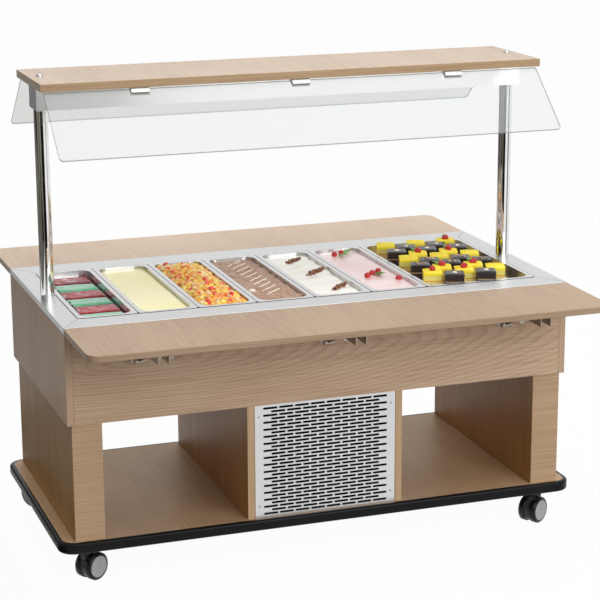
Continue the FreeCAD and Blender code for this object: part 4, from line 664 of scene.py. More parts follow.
fanPlastic = mouldedFinish("fanPlastic", "161617", 0.5)
controlPlastic = mouldedFinish("controlPlastic", "1c1c1e", 0.38)
switchRed = mouldedFinish("switchRed", "a81416", 0.28, coat=0.3)
bumperRubber = mouldedFinish("bumperRubber", "070708", 0.32, grainSize=1300.0, shine=0.16)
housingGrey = mouldedFinish("casterHousingGrey", "3a3b3e", 0.40, shine=0.3)
sealingFoam = foamFinish("insulationFoam")
lampDiffuser = lampFinish("lampDiffuser")
paneGlass = glassFinish("paneGlass")

wooden = {
    "deck_board": deckOak, "left_leg": legOak, "right_leg": legOak, "left_partition": partitionOak,
    "right_partition": partitionOak, "left_end_panel": endOak, "right_end_panel": endOak,
    "front_apron": apronOak, "rear_apron": apronOak, "body_floor": deckOak, "front_shelf": shelfOak,
    "rear_shelf": rearShelfOak, "overshelf": overshelfOak,
}
for name, finish in wooden.items():
    carryOver(name, finish, easing=0.0008)
print("wood done")

steel = {
    "worktop": (counterSteel, "brushed_steel", 0.0006),
    "well_tub": (counterSteel, "brushed_steel", 0.0),
    "divider_bars": (counterSteel, "brushed_steel", 0.0004),
    "light_box": (lightBoxSteel, "polished_steel", 0.0005),
    "overshelf_posts": (postChrome, "chrome", 0.0),
    "post_caps": (screwSteel, "chrome", 0.0),
    "glass_clamps": (clampSteel, "chrome", 0.0004),
    "caster_plates": (trimChrome, "chrome", 0.0),
    "shelf_wall_brackets": (bracketZinc, "bracket_steel", 0.0),
    "front_shelf_arms": (bracketZinc, "bracket_steel", 0.0),
    "rear_shelf_arms": (bracketZinc, "bracket_steel", 0.0),
    "front_struts": (bracketZinc, "bracket_steel", 0.0),
    "rear_struts": (bracketZinc, "bracket_steel", 0.0),
    "front_glass": (paneGlass, "clear_glass", 0.0006),
    "rear_glass": (paneGlass, "clear_glass", 0.0006),
    "led_diffuser": (lampDiffuser, "diffuser", 0.0),
    "insulated_case": (sealingFoam, "foam", 0.0),
    "deck_bumper": (bumperRubber, "black_rubber", 0.0),
    "compressor": (compressorBlack, "black_steel", 0.0),
    "condenser": (condenserFins, "aluminium", 0.0),
    "control_fittings": (controlPlastic, "black_plastic", 0.0004),
    "fan_rotor": (fanPlastic, "black_plastic", 0.0),
    "main_switch": (switchRed, "red_plastic", 0.0003),
}
for number in range(1, 7):
    steel[f"pan_{number}"] = (panSteel, "brushed_steel", 0.0)
steel["cake_pan"] = (widePanSteel, "brushed_steel", 0.0)
for name, (finish, slotName, easing) in steel.items():
    carryOver(name, finish, easing)
print("metal, glass and plastic done")

for end in ("front", "rear"):
    for side in ("left", "right"):
        corner = f"{end}_{side}_caster"
        low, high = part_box(corner + "_wheels")
        joint = next(j for j in frame["joints"] if j["child"] == f"{end}_{side}_wheels")
        tyre = tyreFinish(corner + "_tyre", tuple((low + high) / 2), tuple(joint["axis"]))
        carryOver(corner + "_wheels", tyre)
        carryOver(corner + "_housing", housingGrey)
print("casters done")


# perforated grilles and their screws, in millimetres
grille = {
    "slotLength": 40.5, "slotWidth": 6.1, "slotPitch": 44.7, "rowPitch": 9.85, "slotsPerRow": 8, "frontRows": 31,
    "rearRows": 19, "roundness": 4, "screwIn": 12.0, "screwDown": 32.0, "headRadius": 3.6, "headHeight": 1.6,
}
# the openings for the controller and the switch in metres: width, height and place, all on one level
controlCuts = {"controller": (0.0712, 0.0292, -0.060), "switch": (0.0205, 0.0268, 0.060), "level": 0.403}


def perforate(board, ground, size):
    # a sheet standing in the x-z plane, its slots in staggered rows, the holes left by filling round them
    columns = size["slotsPerRow"]
    gridInputs = {
        "Size X": (columns - 1) * size["slotPitch"], "Size Y": (size["rows"] - 1) * size["rowPitch"],
        "Vertices X": columns, "Vertices Y": size["rows"],
    }
    spots = board.add("GeometryNodeMeshGrid", {}, gridInputs)
    across, upwards, _ = board.add("GeometryNodeInputPosition").split()
    row = (upwards / size["rowPitch"] + (size["rows"] - 1) * 0.5).only("ROUND")
    odd = (row % 2.0) > 0.5
    shifted = board.add("ShaderNodeCombineXYZ", {}, {"X": odd * size["slotPitch"] * 0.5})
    spots = board.add("GeometryNodeSetPosition", {}, {"Geometry": spots, "Offset": shifted})
    beyond = across > ((columns - 1) * size["slotPitch"] * 0.5 + size["slotPitch"] * 0.25)
    spots = board.add("GeometryNodeDeleteGeometry", {"domain": "POINT"}, {"Geometry": spots, "Selection": beyond})
    spots = board.add("GeometryNodeMeshToPoints", {}, {"Mesh": spots})
    spots = place(board, spots, board.add("ShaderNodeCombineXYZ", {}, {"Y": size["rowsMiddle"]}))
    quad = {"Width": size["slotLength"], "Height": size["slotWidth"]}
    slot = board.add("GeometryNodeCurvePrimitiveQuadrilateral", {}, quad)
    rounding = {"Curve": slot, "Count": size["roundness"], "Radius": size["slotWidth"] * 0.49}
    slot = board.add("GeometryNodeFilletCurve", {"mode": "POLY"}, rounding)
    slots = board.add("GeometryNodeInstanceOnPoints", {}, {"Points": spots, "Instance": slot})
    slots = board.add("GeometryNodeRealizeInstances", {}, {"Geometry": slots})
    sheetSize = {"Width": size["width"], "Height": size["height"]}
    rim = board.add("GeometryNodeCurvePrimitiveQuadrilateral", {}, sheetSize)
    outlines = join(board, rim, slots, ground)
    sheet = board.add("GeometryNodeFillCurve", {"mode": "NGONS"}, {"Curve": outlines})
    lift = {"Mesh": sheet, "Offset Scale": size["thickness"], "Individual": False}
    front = board.add("GeometryNodeExtrudeMesh", {"mode": "FACES"}, lift)
    back = board.add("GeometryNodeFlipFaces", {}, {"Mesh": sheet})
    shell = {"Geometry": join(board, front, back), "Distance": 0.00001}
    shell = board.add("GeometryNodeMergeByDistance", {}, shell)
    return place(board, shell, size["middle"], (math.pi / 2, 0.0, 0.0))


def screwHeads(board, spots, size):
    # pan-head screws with a cross recess, one on each point of the ground, facing -y
    disc = {"Vertices": 20, "Radius": size["headRadius"], "Depth": size["headHeight"] * 0.5}
    rim = board.add("GeometryNodeMeshCylinder", {}, disc)
    ball = {"Segments": 20, "Rings": 10, "Radius": size["headRadius"]}
    flat = {"X": 0.97, "Y": 0.97, "Z": size["headHeight"] / size["headRadius"]}
    ball = board.add("GeometryNodeMeshUVSphere", {}, ball)
    dome = place(board, ball, scale=board.add("ShaderNodeCombineXYZ", {}, flat))
    solid = {"operation": "UNION", "solver": "EXACT"}
    head = board.add("GeometryNodeMeshBoolean", solid)
    for piece in (rim, dome):
        board.tree.links.new(piece.socket, head.node.inputs["Mesh 2"])
    bars = []
    for turn in (0.0, math.pi / 2):
        bar = {"X": size["headRadius"] * 1.15, "Y": size["headRadius"] * 0.22, "Z": size["headHeight"] * 1.2}
        bar = board.add("GeometryNodeMeshCube", {}, {"Size": board.add("ShaderNodeCombineXYZ", {}, bar)})
        lift = board.add("ShaderNodeCombineXYZ", {}, {"Z": size["headHeight"] * 1.2})
        bars.append(place(board, bar, lift, (0.0, 0.0, turn)))
    cut = board.add("GeometryNodeMeshBoolean", {"operation": "DIFFERENCE", "solver": "EXACT"}, {"Mesh 1": head})
    for bar in bars:
        board.tree.links.new(bar.socket, cut.node.inputs["Mesh 2"])
    head = place(board, cut, turn=size["facing"])
    return board.add("GeometryNodeInstanceOnPoints", {}, {"Points": spots, "Instance": head})


def makeGrille(name, rows, facingFront):
    low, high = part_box(name)
    rowsHigh = (rows - 1) * grille["rowPitch"] * millimetre
    fullHigh = (grille["frontRows"] - 1) * grille["rowPitch"] * millimetre
    size = {
        "width": high.x - low.x, "height": high.z - low.z, "thickness": high.y - low.y,
        "rows": rows, "slotsPerRow": grille["slotsPerRow"], "roundness": grille["roundness"],
        "rowsMiddle": (rowsHigh - fullHigh) / 2, "middle": ((low.x + high.x) / 2, high.y, (low.z + high.z) / 2),
    }
    for key in ("slotLength", "slotWidth", "slotPitch", "rowPitch"):
        size[key] = grille[key] * millimetre
    windows = None if facingFront else controlWindows(size["middle"])
    sheet = growMesh(name + "Sheet", size, grilleSteel, perforate, windows)
    piece = putPiece(name + "_finished", sheet, bodyOf(name))
    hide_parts(name)

    inwards, downwards = grille["screwIn"] * millimetre, grille["screwDown"] * millimetre
    outerFace = low.y if facingFront else high.y
    spots = [(x, outerFace, z) for x in (low.x + inwards, high.x - inwards)
             for z in (low.z + downwards, high.z - downwards)]
    head = {key: grille[key] * millimetre for key in ("headRadius", "headHeight")}
    head["facing"] = (math.pi / 2 if facingFront else -math.pi / 2, 0.0, 0.0)
    heads = growMesh(name + "Screws", head, screwSteel, screwHeads, pointMesh(name + "Spots", spots))
    putPiece(name + "_screws", heads, bodyOf(name), smoothBelow=50)


def controlWindows(middle):
    # closed outlines in the sheet's own plane round the controller and the switch
    def fill(build):
        for wide, tall, across in (controlCuts["controller"], controlCuts["switch"]):
            right, up = across - middle[0], controlCuts["level"] - middle[2]
            ring = [build.verts.new((right + x * wide / 2, up + y * tall / 2, 0.0))
                    for x, y in ((-1, -1), (1, -1), (1, 1), (-1, 1))]
            for start, end in zip(ring, ring[1:] + ring[:1]):
                build.edges.new((start, end))
    return shapeMesh("controlWindows", fill)


makeGrille("front_grille", grille["frontRows"], True)
makeGrille("rear_grille", grille["rearRows"], False)
print("grilles done")


filterMat = {"inset": 0.008, "gap": 0.003, "thick": 0.004}


def layFilter():
    # a thin black sheet close behind the front grille: painted shade, a dark thing put where the cabinet's inside
    # lies in shade
    low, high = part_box("front_grille")
    inset, thick = filterMat["inset"], filterMat["thick"]
    size = Vector((high.x - low.x - 2 * inset, thick, high.z - low.z - 2 * inset))
    middle = Vector(((low.x + high.x) / 2, high.y + filterMat["gap"] + thick / 2, (low.z + high.z) / 2))
    into = Matrix.Translation(middle) @ Matrix.Diagonal((*size, 1.0))
    mesh = shapeMesh("filterMat", lambda build: bmesh.ops.create_cube(build, size=1.0, matrix=into))
    finish = mouldedFinish("filterBlack", "070707", 0.9, grainSize=500.0, grainDepth=0.0006, shine=0.05)
    mesh.materials.append(finish)
    putPiece("filter_mat", mesh, bodyOf("front_grille"))


layFilter()


# food in the pans
def smooth(low, high, value):
    share = min(max((value - low) / (high - low), 0.0), 1.0)
    return share * share * (3 - 2 * share)


def spoonedFilling(name, filling):
    # the CAD filling in small even quads, its upper side in waves and sunk along the walls
    low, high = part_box(name)
    shape = wholeFaces(name)
    mesh = bpy.data.meshes.new(name + "_solid")
    shape.to_mesh(mesh)
    shape.free()
    mesh.materials.clear()
    mesh.materials.append(filling["finish"])
    carrier = bpy.data.objects.new(name + "_carrier", mesh)
    even = carrier.modifiers.new("evenQuads", "REMESH")
    even.mode = "VOXEL"
    even.voxel_size = filling["quad"]
    mesh = finishedMesh(carrier)
    for vertex in mesh.vertices:
        spot = vertex.co
        upper = smooth(high.z - 0.012, high.z - 0.002, spot.z)
        inward = min(spot.x - low.x, high.x - spot.x, spot.y - low.y, high.y - spot.y)
        spot.z += upper * fillingRelief(filling, spot.x, spot.y, inward)
    piece = putPiece(name + "_filling", mesh, bodyOf(name), smoothBelow=80)
    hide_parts(name)


def fillingRelief(filling, x, y, inward):
    sink, sinkWide = filling["sink"]
    height = filling.get("heaped", 0.0) - sink * (1 - smooth(0.0, sinkWide, inward))
    for wave, acrossRate, alongRate, chance in filling["waves"]:
        height += wave * noise.noise(Vector((x * acrossRate, y * alongRate, chance)))
    if "folds" in filling:
        height += filling["folds"] * math.sin(y * 90 + 3 * noise.noise(Vector((x * 12, y * 10, 0.0))))
    return height


def creamyFinish(name, shade, deep, roughness, pits=0.0, speck=None):
    def paint(board, point, normal):
        drift = board.cloud(point, 9.0, 3.0)
        fine = board.cloud(point, 260.0, 3.0)
        tone = board.ramp(drift, (0.32, deep), (0.68, shade))
        height = fine
        if pits:
            holes = board.add("ShaderNodeTexVoronoi", {}, {"Vector": point, "Scale": 150.0})
            height = fine * 0.4 + holes.between(0.05, 0.45) * pits
            # painted shade: the pits are darker inside
            tone = board.blend(1 - holes.between(0.05, 0.35), tone, colour(mixCodes(deep, "000000", 0.35)))
        if speck:
            dots = board.add("ShaderNodeTexVoronoi", {}, {"Vector": point, "Scale": 95.0})
            tone = board.blend(1 - dots.between(0.10, 0.17), tone, colour(speck))
        return {
            "Base Color": tone,
            "Roughness": roughness + (fine - 0.5) * 0.2,
            "Normal": board.bump(height, 0.0006, 0.35),
        }
    plain = {"Subsurface Weight": 0.18, "Subsurface Radius": (0.006, 0.004, 0.003), "Coat Weight": 0.25}
    return makeFinish(name, plain, paint)


def layeredFinish(name, floor, layers, roughness, coat, crumb=1.0):
    # layers: the height in millimetres over the pan's floor at which each colour starts
    top = max(height for height, _ in layers) + 12.0

    def paint(board, point, normal):
        across, along, upwards = point.split()
        wobble = board.cloud(point, 70.0, 2.0) - 0.5
        height = (upwards - floor) / millimetre + wobble * 2.2
        share = height / top
        stops = [(start / top, code) for start, code in layers]
        bands = board.add("ShaderNodeValToRGB", {"stops": stops}, {"Fac": share})
        bands.node.color_ramp.interpolation = "CONSTANT"
        grain = board.cloud(point, 420.0, 3.0)
        pores = board.add("ShaderNodeTexVoronoi", {}, {"Vector": point, "Scale": 330.0})
        shaded = board.blend((grain - 0.35) * 0.35 * crumb, bands.out("Color"), colour("2a1508"))
        return {
            "Base Color": shaded,
            "Roughness": roughness + (grain - 0.5) * 0.3,
            "Normal": board.bump(pores + grain, 0.0007 * crumb, 0.5),
        }
    return makeFinish(name, {"Coat Weight": coat, "Coat Roughness": 0.12, "Subsurface Weight": 0.06}, paint)


def attributeFinish(name, stops, roughness, coat):
    # each chunk's own shade number picks its colour
    def paint(board, point, normal):
        number = board.add("ShaderNodeAttribute", {"attribute_name": "shadeNumber"}).out("Fac")
        fibres = board.cloud(point, 240.0, 4.0)
        tone = board.ramp(number + (fibres - 0.5) * 0.25, *stops)
        return {
            "Base Color": tone,
            "Roughness": roughness + (fibres - 0.5) * 0.2,
            "Normal": board.bump(fibres, 0.0008, 0.4),
        }
    plain = {"Coat Weight": coat, "Coat Roughness": 0.1}
    plain.update({"Subsurface Weight": 0.2, "Subsurface Radius": (0.004, 0.003, 0.001)})
    return makeFinish(name, plain, paint)


def berryFinish(name, shade, deep):
    def paint(board, point, normal):
        mottle = board.cloud(point, 180.0, 3.0)
        return {
            "Base Color": board.ramp(mottle, (0.3, deep), (0.7, shade)),
            "Roughness": 0.40 + (mottle - 0.5) * 0.15,
            "Normal": board.bump(mottle, 0.0003, 0.3),
        }
    return makeFinish(name, {"Coat Weight": 0.12, "Coat Roughness": 0.2, "Subsurface Weight": 0.25}, paint)


def leafFinish(name):
    def paint(board, point, normal):
        cells = {"Vector": point, "Scale": 260.0}
        veins = board.add("ShaderNodeTexVoronoi", {"feature": "DISTANCE_TO_EDGE"}, cells)
        patch = board.cloud(point, 90.0, 3.0)
        green = board.ramp(patch, (0.3, "2f7a30"), (0.7, "62ae48"))
        return {
            "Base Color": board.blend(1 - veins.between(0.0, 0.12), green, colour("9cc47c")),
            "Roughness": 0.42 + (patch - 0.5) * 0.2,
            "Normal": board.bump(veins, 0.0006, 0.4),
        }
    return makeFinish(name, {"Subsurface Weight": 0.1, "Specular IOR Level": 0.4}, paint)


def slabShape(build, middle, size, turn, relief, cells, rounding):
    # a closed slab whose upper side is a grid moved by relief(u, v), with its upper edges rounded off
    wide, long, thick = size
    spin = Matrix.Rotation(turn, 3, "Z")
    columns, rows = cells

    def corner(i, j, level):
        u, v = i / columns * 2 - 1, j / rows * 2 - 1
        spot = spin @ Vector((u * wide / 2, v * long / 2, 0.0))
        drop = 0.0
        if level:
            inward = min((1 - abs(u)) * wide / 2, (1 - abs(v)) * long / 2)
            drop = relief(u, v)
            if rounding:
                drop -= rounding * (1 - smooth(0.0, rounding * 1.6, inward))
        return build.verts.new(Vector(middle) + spot + Vector((0, 0, level + drop)))

    above = [[corner(i, j, thick) for j in range(rows + 1)] for i in range(columns + 1)]
    for i in range(columns):
        for j in range(rows):
            build.faces.new((above[i][j], above[i + 1][j], above[i + 1][j + 1], above[i][j + 1]))
    rim = [(i, 0) for i in range(columns)] + [(columns, j) for j in range(rows)]
    rim += [(i, rows) for i in range(columns, 0, -1)] + [(0, j) for j in range(rows, 0, -1)]
    below = [corner(i, j, 0.0) for i, j in rim]
    upper = [above[i][j] for i, j in rim]
    count = len(rim)
    for step in range(count):
        after = (step + 1) % count
        build.faces.new((below[step], below[after], upper[after], upper[step]))
    build.faces.new(list(reversed(below)))


def scatterChunks(board, ground, size):
    # lumps lying anyhow on the ground, each turned, stretched and numbered by chance
    spread = {
        "Mesh": ground, "Distance Min": size["apart"], "Density Max": size["density"], "Seed": size["seed"],
    }
    spots = board.add("GeometryNodeDistributePointsOnFaces", {"distribute_method": "POISSON"}, spread)
    block = {"Size": size["lump"], "Vertices X": 3, "Vertices Y": 3, "Vertices Z": 3}
    block = board.add("GeometryNodeMeshCube", {}, block)
    block = board.add("GeometryNodeSubdivisionSurface", {}, {"Mesh": block, "Level": 1})
    where = board.add("GeometryNodeInputPosition")
    rough = board.add("ShaderNodeTexNoise", {}, {"Vector": where, "Scale": size["roughScale"]}).out("Color")
    shove = (rough - 0.5) * size["roughDepth"]
    block = board.add("GeometryNodeSetPosition", {}, {"Geometry": block, "Offset": shove})
    vectorKind = {"data_type": "FLOAT_VECTOR"}
    chance = {0: (-3.1, -3.1, -3.1), 1: (3.1, 3.1, 3.1), 8: size["seed"]}
    turns = board.add("FunctionNodeRandomValue", vectorKind, chance)
    chance = {0: size["least"], 1: size["most"], 8: size["seed"]}
    stretch = board.add("FunctionNodeRandomValue", vectorKind, chance)
    put = {"Points": spots, "Instance": block, "Rotation": turns, "Scale": stretch}
    lumps = board.add("GeometryNodeInstanceOnPoints", {}, put)
    chance = {2: 0.0, 3: 1.0, 8: size["seed"] + 1}
    number = board.add("FunctionNodeRandomValue", {"data_type": "FLOAT"}, chance).out(1)
    store = {"data_type": "FLOAT", "domain": "INSTANCE"}
    named = {"Geometry": lumps, "Name": "shadeNumber", "Value": number}
    return board.add("GeometryNodeStoreNamedAttribute", store, named)


def groundPatch(name, low, high, height, inset, cells=(8, 24)):
    # a heaped sheet over a pan's filling, on which chunks are strewn
    def fill(build):
        columns, rows = cells
        grid = []
        for i in range(columns + 1):
            line = []
            for j in range(rows + 1):
                u, v = i / columns * 2 - 1, j / rows * 2 - 1
                x = (low.x + high.x) / 2 + u * ((high.x - low.x) / 2 - inset)
                y = (low.y + high.y) / 2 + v * ((high.y - low.y) / 2 - inset)
                line.append(build.verts.new((x, y, height(u, v))))
            grid.append(line)
        for i in range(columns):
            for j in range(rows):
                build.faces.new((grid[i][j], grid[i + 1][j], grid[i + 1][j + 1], grid[i][j + 1]))
    return shapeMesh(name, fill)


custardCream = creamyFinish("custardCream", "fffac0", "fff0a0", roughness=0.30)
mousseBrown = creamyFinish("chocolateMousse", "bb9072", "a2785c", roughness=0.42, pits=0.8, speck="704436")
dairyCream = creamyFinish("dairyCream", "fffdf6", "f8f3e6", roughness=0.32)
mousseRose = creamyFinish("berryMousse", "fbe2e0", "f4d0d0", roughness=0.33)
saladBed = creamyFinish("saladBed", "e8b23c", "b9711d", roughness=0.25, pits=0.5)

# waves: height, how fast they come across and along the pan, and a chance number;
# sink: how far it is lower along the walls, and over what width
fillings = {
    "custard": {
        "finish": custardCream, "slot": "custard_yellow", "quad": 0.0035,
        "waves": [(0.0006, 14, 9, 1.0)], "sink": (0.0012, 0.012),
    },
    "chocolate_mousse": {
        "finish": mousseBrown, "slot": "mousse_brown", "quad": 0.0024,
        "waves": [(0.0045, 45, 38, 2.0), (0.0020, 160, 150, 5.0)], "sink": (0.003, 0.014),
    },
    "cream": {
        "finish": dairyCream, "slot": "cream_white", "quad": 0.0032,
        "waves": [(0.0026, 30, 22, 3.0)], "sink": (0.002, 0.012), "folds": 0.0010,
    },
    "berry_mousse": {
        "finish": mousseRose, "slot": "mousse_pink", "quad": 0.0032,
        "waves": [(0.0013, 26, 16, 4.0)], "sink": (0.002, 0.012),
    },
    "fruit_salad": {
        "finish": saladBed, "slot": "fruit_yellow", "quad": 0.0040,
        "waves": [], "sink": (0.008, 0.05), "heaped": 0.005,
    },
}
for name, filling in fillings.items():
    spoonedFilling(name, filling)
print("fillings done")


# fruit salad: cut fruit heaped over the bed, and red bits lying on it
salad = {
    "apart": 0.0122, "density": 36000.0, "seed": 7, "lump": (0.0215, 0.0185, 0.0150), "roughScale": 90.0,
    "roughDepth": 0.004, "least": (0.75, 0.75, 0.75), "most": (1.2, 1.1, 1.15),
}
redBits = {**salad, "apart": 0.046, "density": 2500.0, "seed": 3, "lump": (0.0165, 0.0135, 0.0105)}
saladHeap = {
    "start": 0.0005, "high": 0.0075, "drop": 0.0045, "redHigher": 0.0080, "inset": 0.0085, "redInset": 0.016,
}
saladFruit = attributeFinish("cutFruit", [
    (0.0, "fbe27c"), (0.22, "fcd64a"), (0.42, "fbc02a"), (0.62, "f6a01c"), (0.8, "ec7e14"), (1.0, "fdeeb4"),
], 0.25, 0.6)
pepperRed = attributeFinish("redFruit", [(0.0, "dc1c1c"), (1.0, "f23a30")], 0.3, 0.4)


def strewSalad():
    low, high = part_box("fruit_salad")

    def heap(u, v):
        domed = saladHeap["high"] * (1 - u * u) * (1 - v * v * v * v)
        return high.z + saladHeap["start"] + domed - saladHeap["drop"] * max(abs(u), abs(v)) ** 6

    def overHeap(u, v):
        return heap(u, v) + saladHeap["redHigher"]

    layers = (
        ("cutFruit", "cut_fruit", salad, saladFruit, "fruit_yellow", heap, saladHeap["inset"]),
        ("redFruit", "red_fruit_bits", redBits, pepperRed, "fruit_red", overHeap, saladHeap["redInset"]),
    )
    for label, pieceName, size, finish, slotName, height, inset in layers:
        ground = groundPatch(label + "Patch", low, high, height, inset)
        lumps = growMesh(label, size, finish, scatterChunks, ground)
        putPiece(pieceName, lumps, "pan_3_set", smoothBelow=60)


strewSalad()


# slices of dessert in the first pan: mint and red by turns, from the front
slices = {
    "count": 6, "pitch": 0.0815, "wide": 0.122, "long": 0.066, "spongeHigh": 0.033, "topHigh": 0.050,
    "spongeInset": 0.002, "rounding": 0.004, "reliefMint": 0.0009, "reliefRed": 0.0016,
}
# crumbs lying along the slices' left ends
sliceCrumbs = {
    "apart": 0.0060, "density": 26000.0, "seed": 5, "lump": (0.0105, 0.0080, 0.0040), "roughScale": 160.0,
    "roughDepth": 0.003, "least": (0.6, 0.6, 0.6), "most": (1.2, 1.0, 1.0),
}
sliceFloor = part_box("slices")[0].z
slicesSponge = layeredFinish("sliceSponge", sliceFloor, [
    (0.0, "2c160e"), (11.0, "c9a27c"), (14.0, "33190f"), (25.0, "d9c3a4"), (28.0, "3a1d12"),
], 0.55, 0.1)
mintGlaze = creamyFinish("mintGlaze", "7bd2a6", "4c9e78", roughness=0.16)
# the pale specks on the red glaze are painted glints
redGlaze = creamyFinish("redGlaze", "b63c48", "7a1f2a", roughness=0.13, speck="dda7a4")
darkChips = attributeFinish("sliceChips", [
    (0.0, "1c0d0a"), (0.55, "3a1512"), (0.8, "1d3a22"), (1.0, "5b1a1c"),
], 0.2, 0.6)


def makeSlices():
    low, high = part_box("slices")
    middleX, middleY = (low.x + high.x) / 2, (low.y + high.y) / 2
    wide, long = slices["wide"], slices["long"]
    places = [middleY + (index - (slices["count"] - 1) / 2) * slices["pitch"] for index in range(slices["count"])]
    sponge = (wide - slices["spongeInset"], long - slices["spongeInset"], slices["spongeHigh"])
    glaze = (wide, long, slices["topHigh"] - slices["spongeHigh"])
    glazeTop = low.z + slices["topHigh"]

    def flat(u, v):
        return 0.0

    def mintTop(u, v):
        return slices["reliefMint"] * noise.noise(Vector((u * 3, v * 2, middleX)))

    def redTop(u, v):
        ridge = math.sin(v * 11 + 1.5 * noise.noise(Vector((u * 2, v, 4.0))))
        return slices["reliefRed"] * (0.5 * ridge + noise.noise(Vector((u * 5, v * 4, 9.0))))

    def spongeShape(build):
        for y in places:
            slabShape(build, (middleX, y, low.z), sponge, 0.0, flat, (4, 4), 0.0)

    def glazeShape(which, top):
        def fill(build):
            for y in places[which::2]:
                middle = (middleX, y, low.z + slices["spongeHigh"])
                slabShape(build, middle, glaze, 0.0, top, (48, 28), slices["rounding"])
        return fill

    mesh = shapeMesh("sliceSponges", spongeShape)
    mesh.materials.append(slicesSponge)
    base = putPiece("slice_sponges", mesh, "pan_1_set")
    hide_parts("slices")
    for label, which, top, finish, slotName in (
        ("mint_glazes", 0, mintTop, mintGlaze, "cream_white"),
        ("red_glazes", 1, redTop, redGlaze, "fruit_red"),
    ):
        mesh = shapeMesh(label, glazeShape(which, top))
        mesh.materials.append(finish)
        putPiece(label, mesh, "pan_1_set", smoothBelow=50)
    edge = middleX - wide / 2
    edgeLow = Vector((edge - 0.002, low.y, 0))
    edgeHigh = Vector((edge + 0.010, high.y, 0))

    def edgeHeight(u, v):
        return glazeTop - 0.002 + 0.001 * u

    ground = groundPatch("chipGround", edgeLow, edgeHigh, edgeHeight, 0.001, (2, 20))
    lumps = growMesh("sliceChips", sliceCrumbs, darkChips, scatterChunks, ground)
    putPiece("slice_chips", lumps, "pan_1_set", smoothBelow=60)


makeSlices()
print("slices done")


# squares of cake, set cornerwise: lemon and chocolate by turns
cakes = {
    "columns": 5, "rows": 5, "pitchX": 0.048, "pitchY": 0.044, "shiftX": -0.006, "wide": 0.054, "deep": 0.050,
    "gap": 0.0026, "turn": math.radians(-19), "lemonTop": 0.0115, "chocolateTop": 0.0065, "overhang": 0.0012,
    "rounding": 0.0022, "rise": 0.008,
}
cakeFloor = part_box("cakes")[0].z
lemonBody = layeredFinish("lemonCakeSides", cakeFloor, [
    (0.0, "f2c53c"), (9.0, "fbe9a0"), (15.0, "f09c22"), (19.0, "fbe690"), (27.0, "f5b52c"), (30.5, "fdea80"),
], 0.5, 0.1, crumb=0.7)
lemonTop = creamyFinish("lemonCakeTop", "fff02c", "fbdc1c", roughness=0.26)
chocolateBody = layeredFinish("chocolateCakeSides", cakeFloor, [
    (0.0, "2b150d"), (14.0, "190b07"), (20.0, "301810"), (31.0, "d2b084"), (33.5, "26120b"),
], 0.6, 0.1)
chocolateTop = creamyFinish("chocolateCakeTop", "1e1513", "110b0a", roughness=0.42)


def cakePlace(column, row):
    middleX = (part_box("cake_pan")[0].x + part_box("cake_pan")[1].x) / 2
    lag = -1 if column % 2 else 1
    x = middleX + cakes["shiftX"] + (column - (cakes["columns"] - 1) / 2) * cakes["pitchX"]
    y = (2 * row - (cakes["rows"] - 1)) * cakes["pitchY"] + lag * cakes["pitchY"] / 2
    return x, y


def repeatCakes(board, ground, size):
    # one cake on each point of a staggered grid whose place in the pattern fits its kind
    grid = {
        "Size X": (size["columns"] - 1) * size["pitchX"], "Size Y": (size["rows"] - 1) * size["pitchY"] * 2,
        "Vertices X": size["columns"], "Vertices Y": size["rows"],
    }
    spots = board.add("GeometryNodeMeshGrid", {}, grid)
    across, along, _ = board.add("GeometryNodeInputPosition").split()
    column = (across / size["pitchX"] + (size["columns"] - 1) * 0.5).only("ROUND")
    row = (along / (size["pitchY"] * 2) + (size["rows"] - 1) * 0.5).only("ROUND")
    kind = (column + row) % 2.0
    store = {"data_type": "FLOAT", "domain": "POINT"}
    number = {"Geometry": spots, "Name": "kindNumber", "Value": abs(kind - size["kind"])}
    number = board.add("GeometryNodeStoreNamedAttribute", store, number)
    lag = 0.5 - (column % 2.0)
    shifted = board.add("ShaderNodeCombineXYZ", {}, {"Y": lag * size["pitchY"]})
    spots = board.add("GeometryNodeSetPosition", {}, {"Geometry": number, "Offset": shifted + size["middle"]})
    other = board.add("GeometryNodeInputNamedAttribute", {"data_type": "FLOAT"}, {"Name": "kindNumber"})
    wrong = other > 0.5
    spots = board.add("GeometryNodeDeleteGeometry", {"domain": "POINT"}, {"Geometry": spots, "Selection": wrong})
    spots = board.add("GeometryNodeMeshToPoints", {}, {"Mesh": spots})
    return board.add("GeometryNodeInstanceOnPoints", {}, {"Points": spots, "Instance": ground})


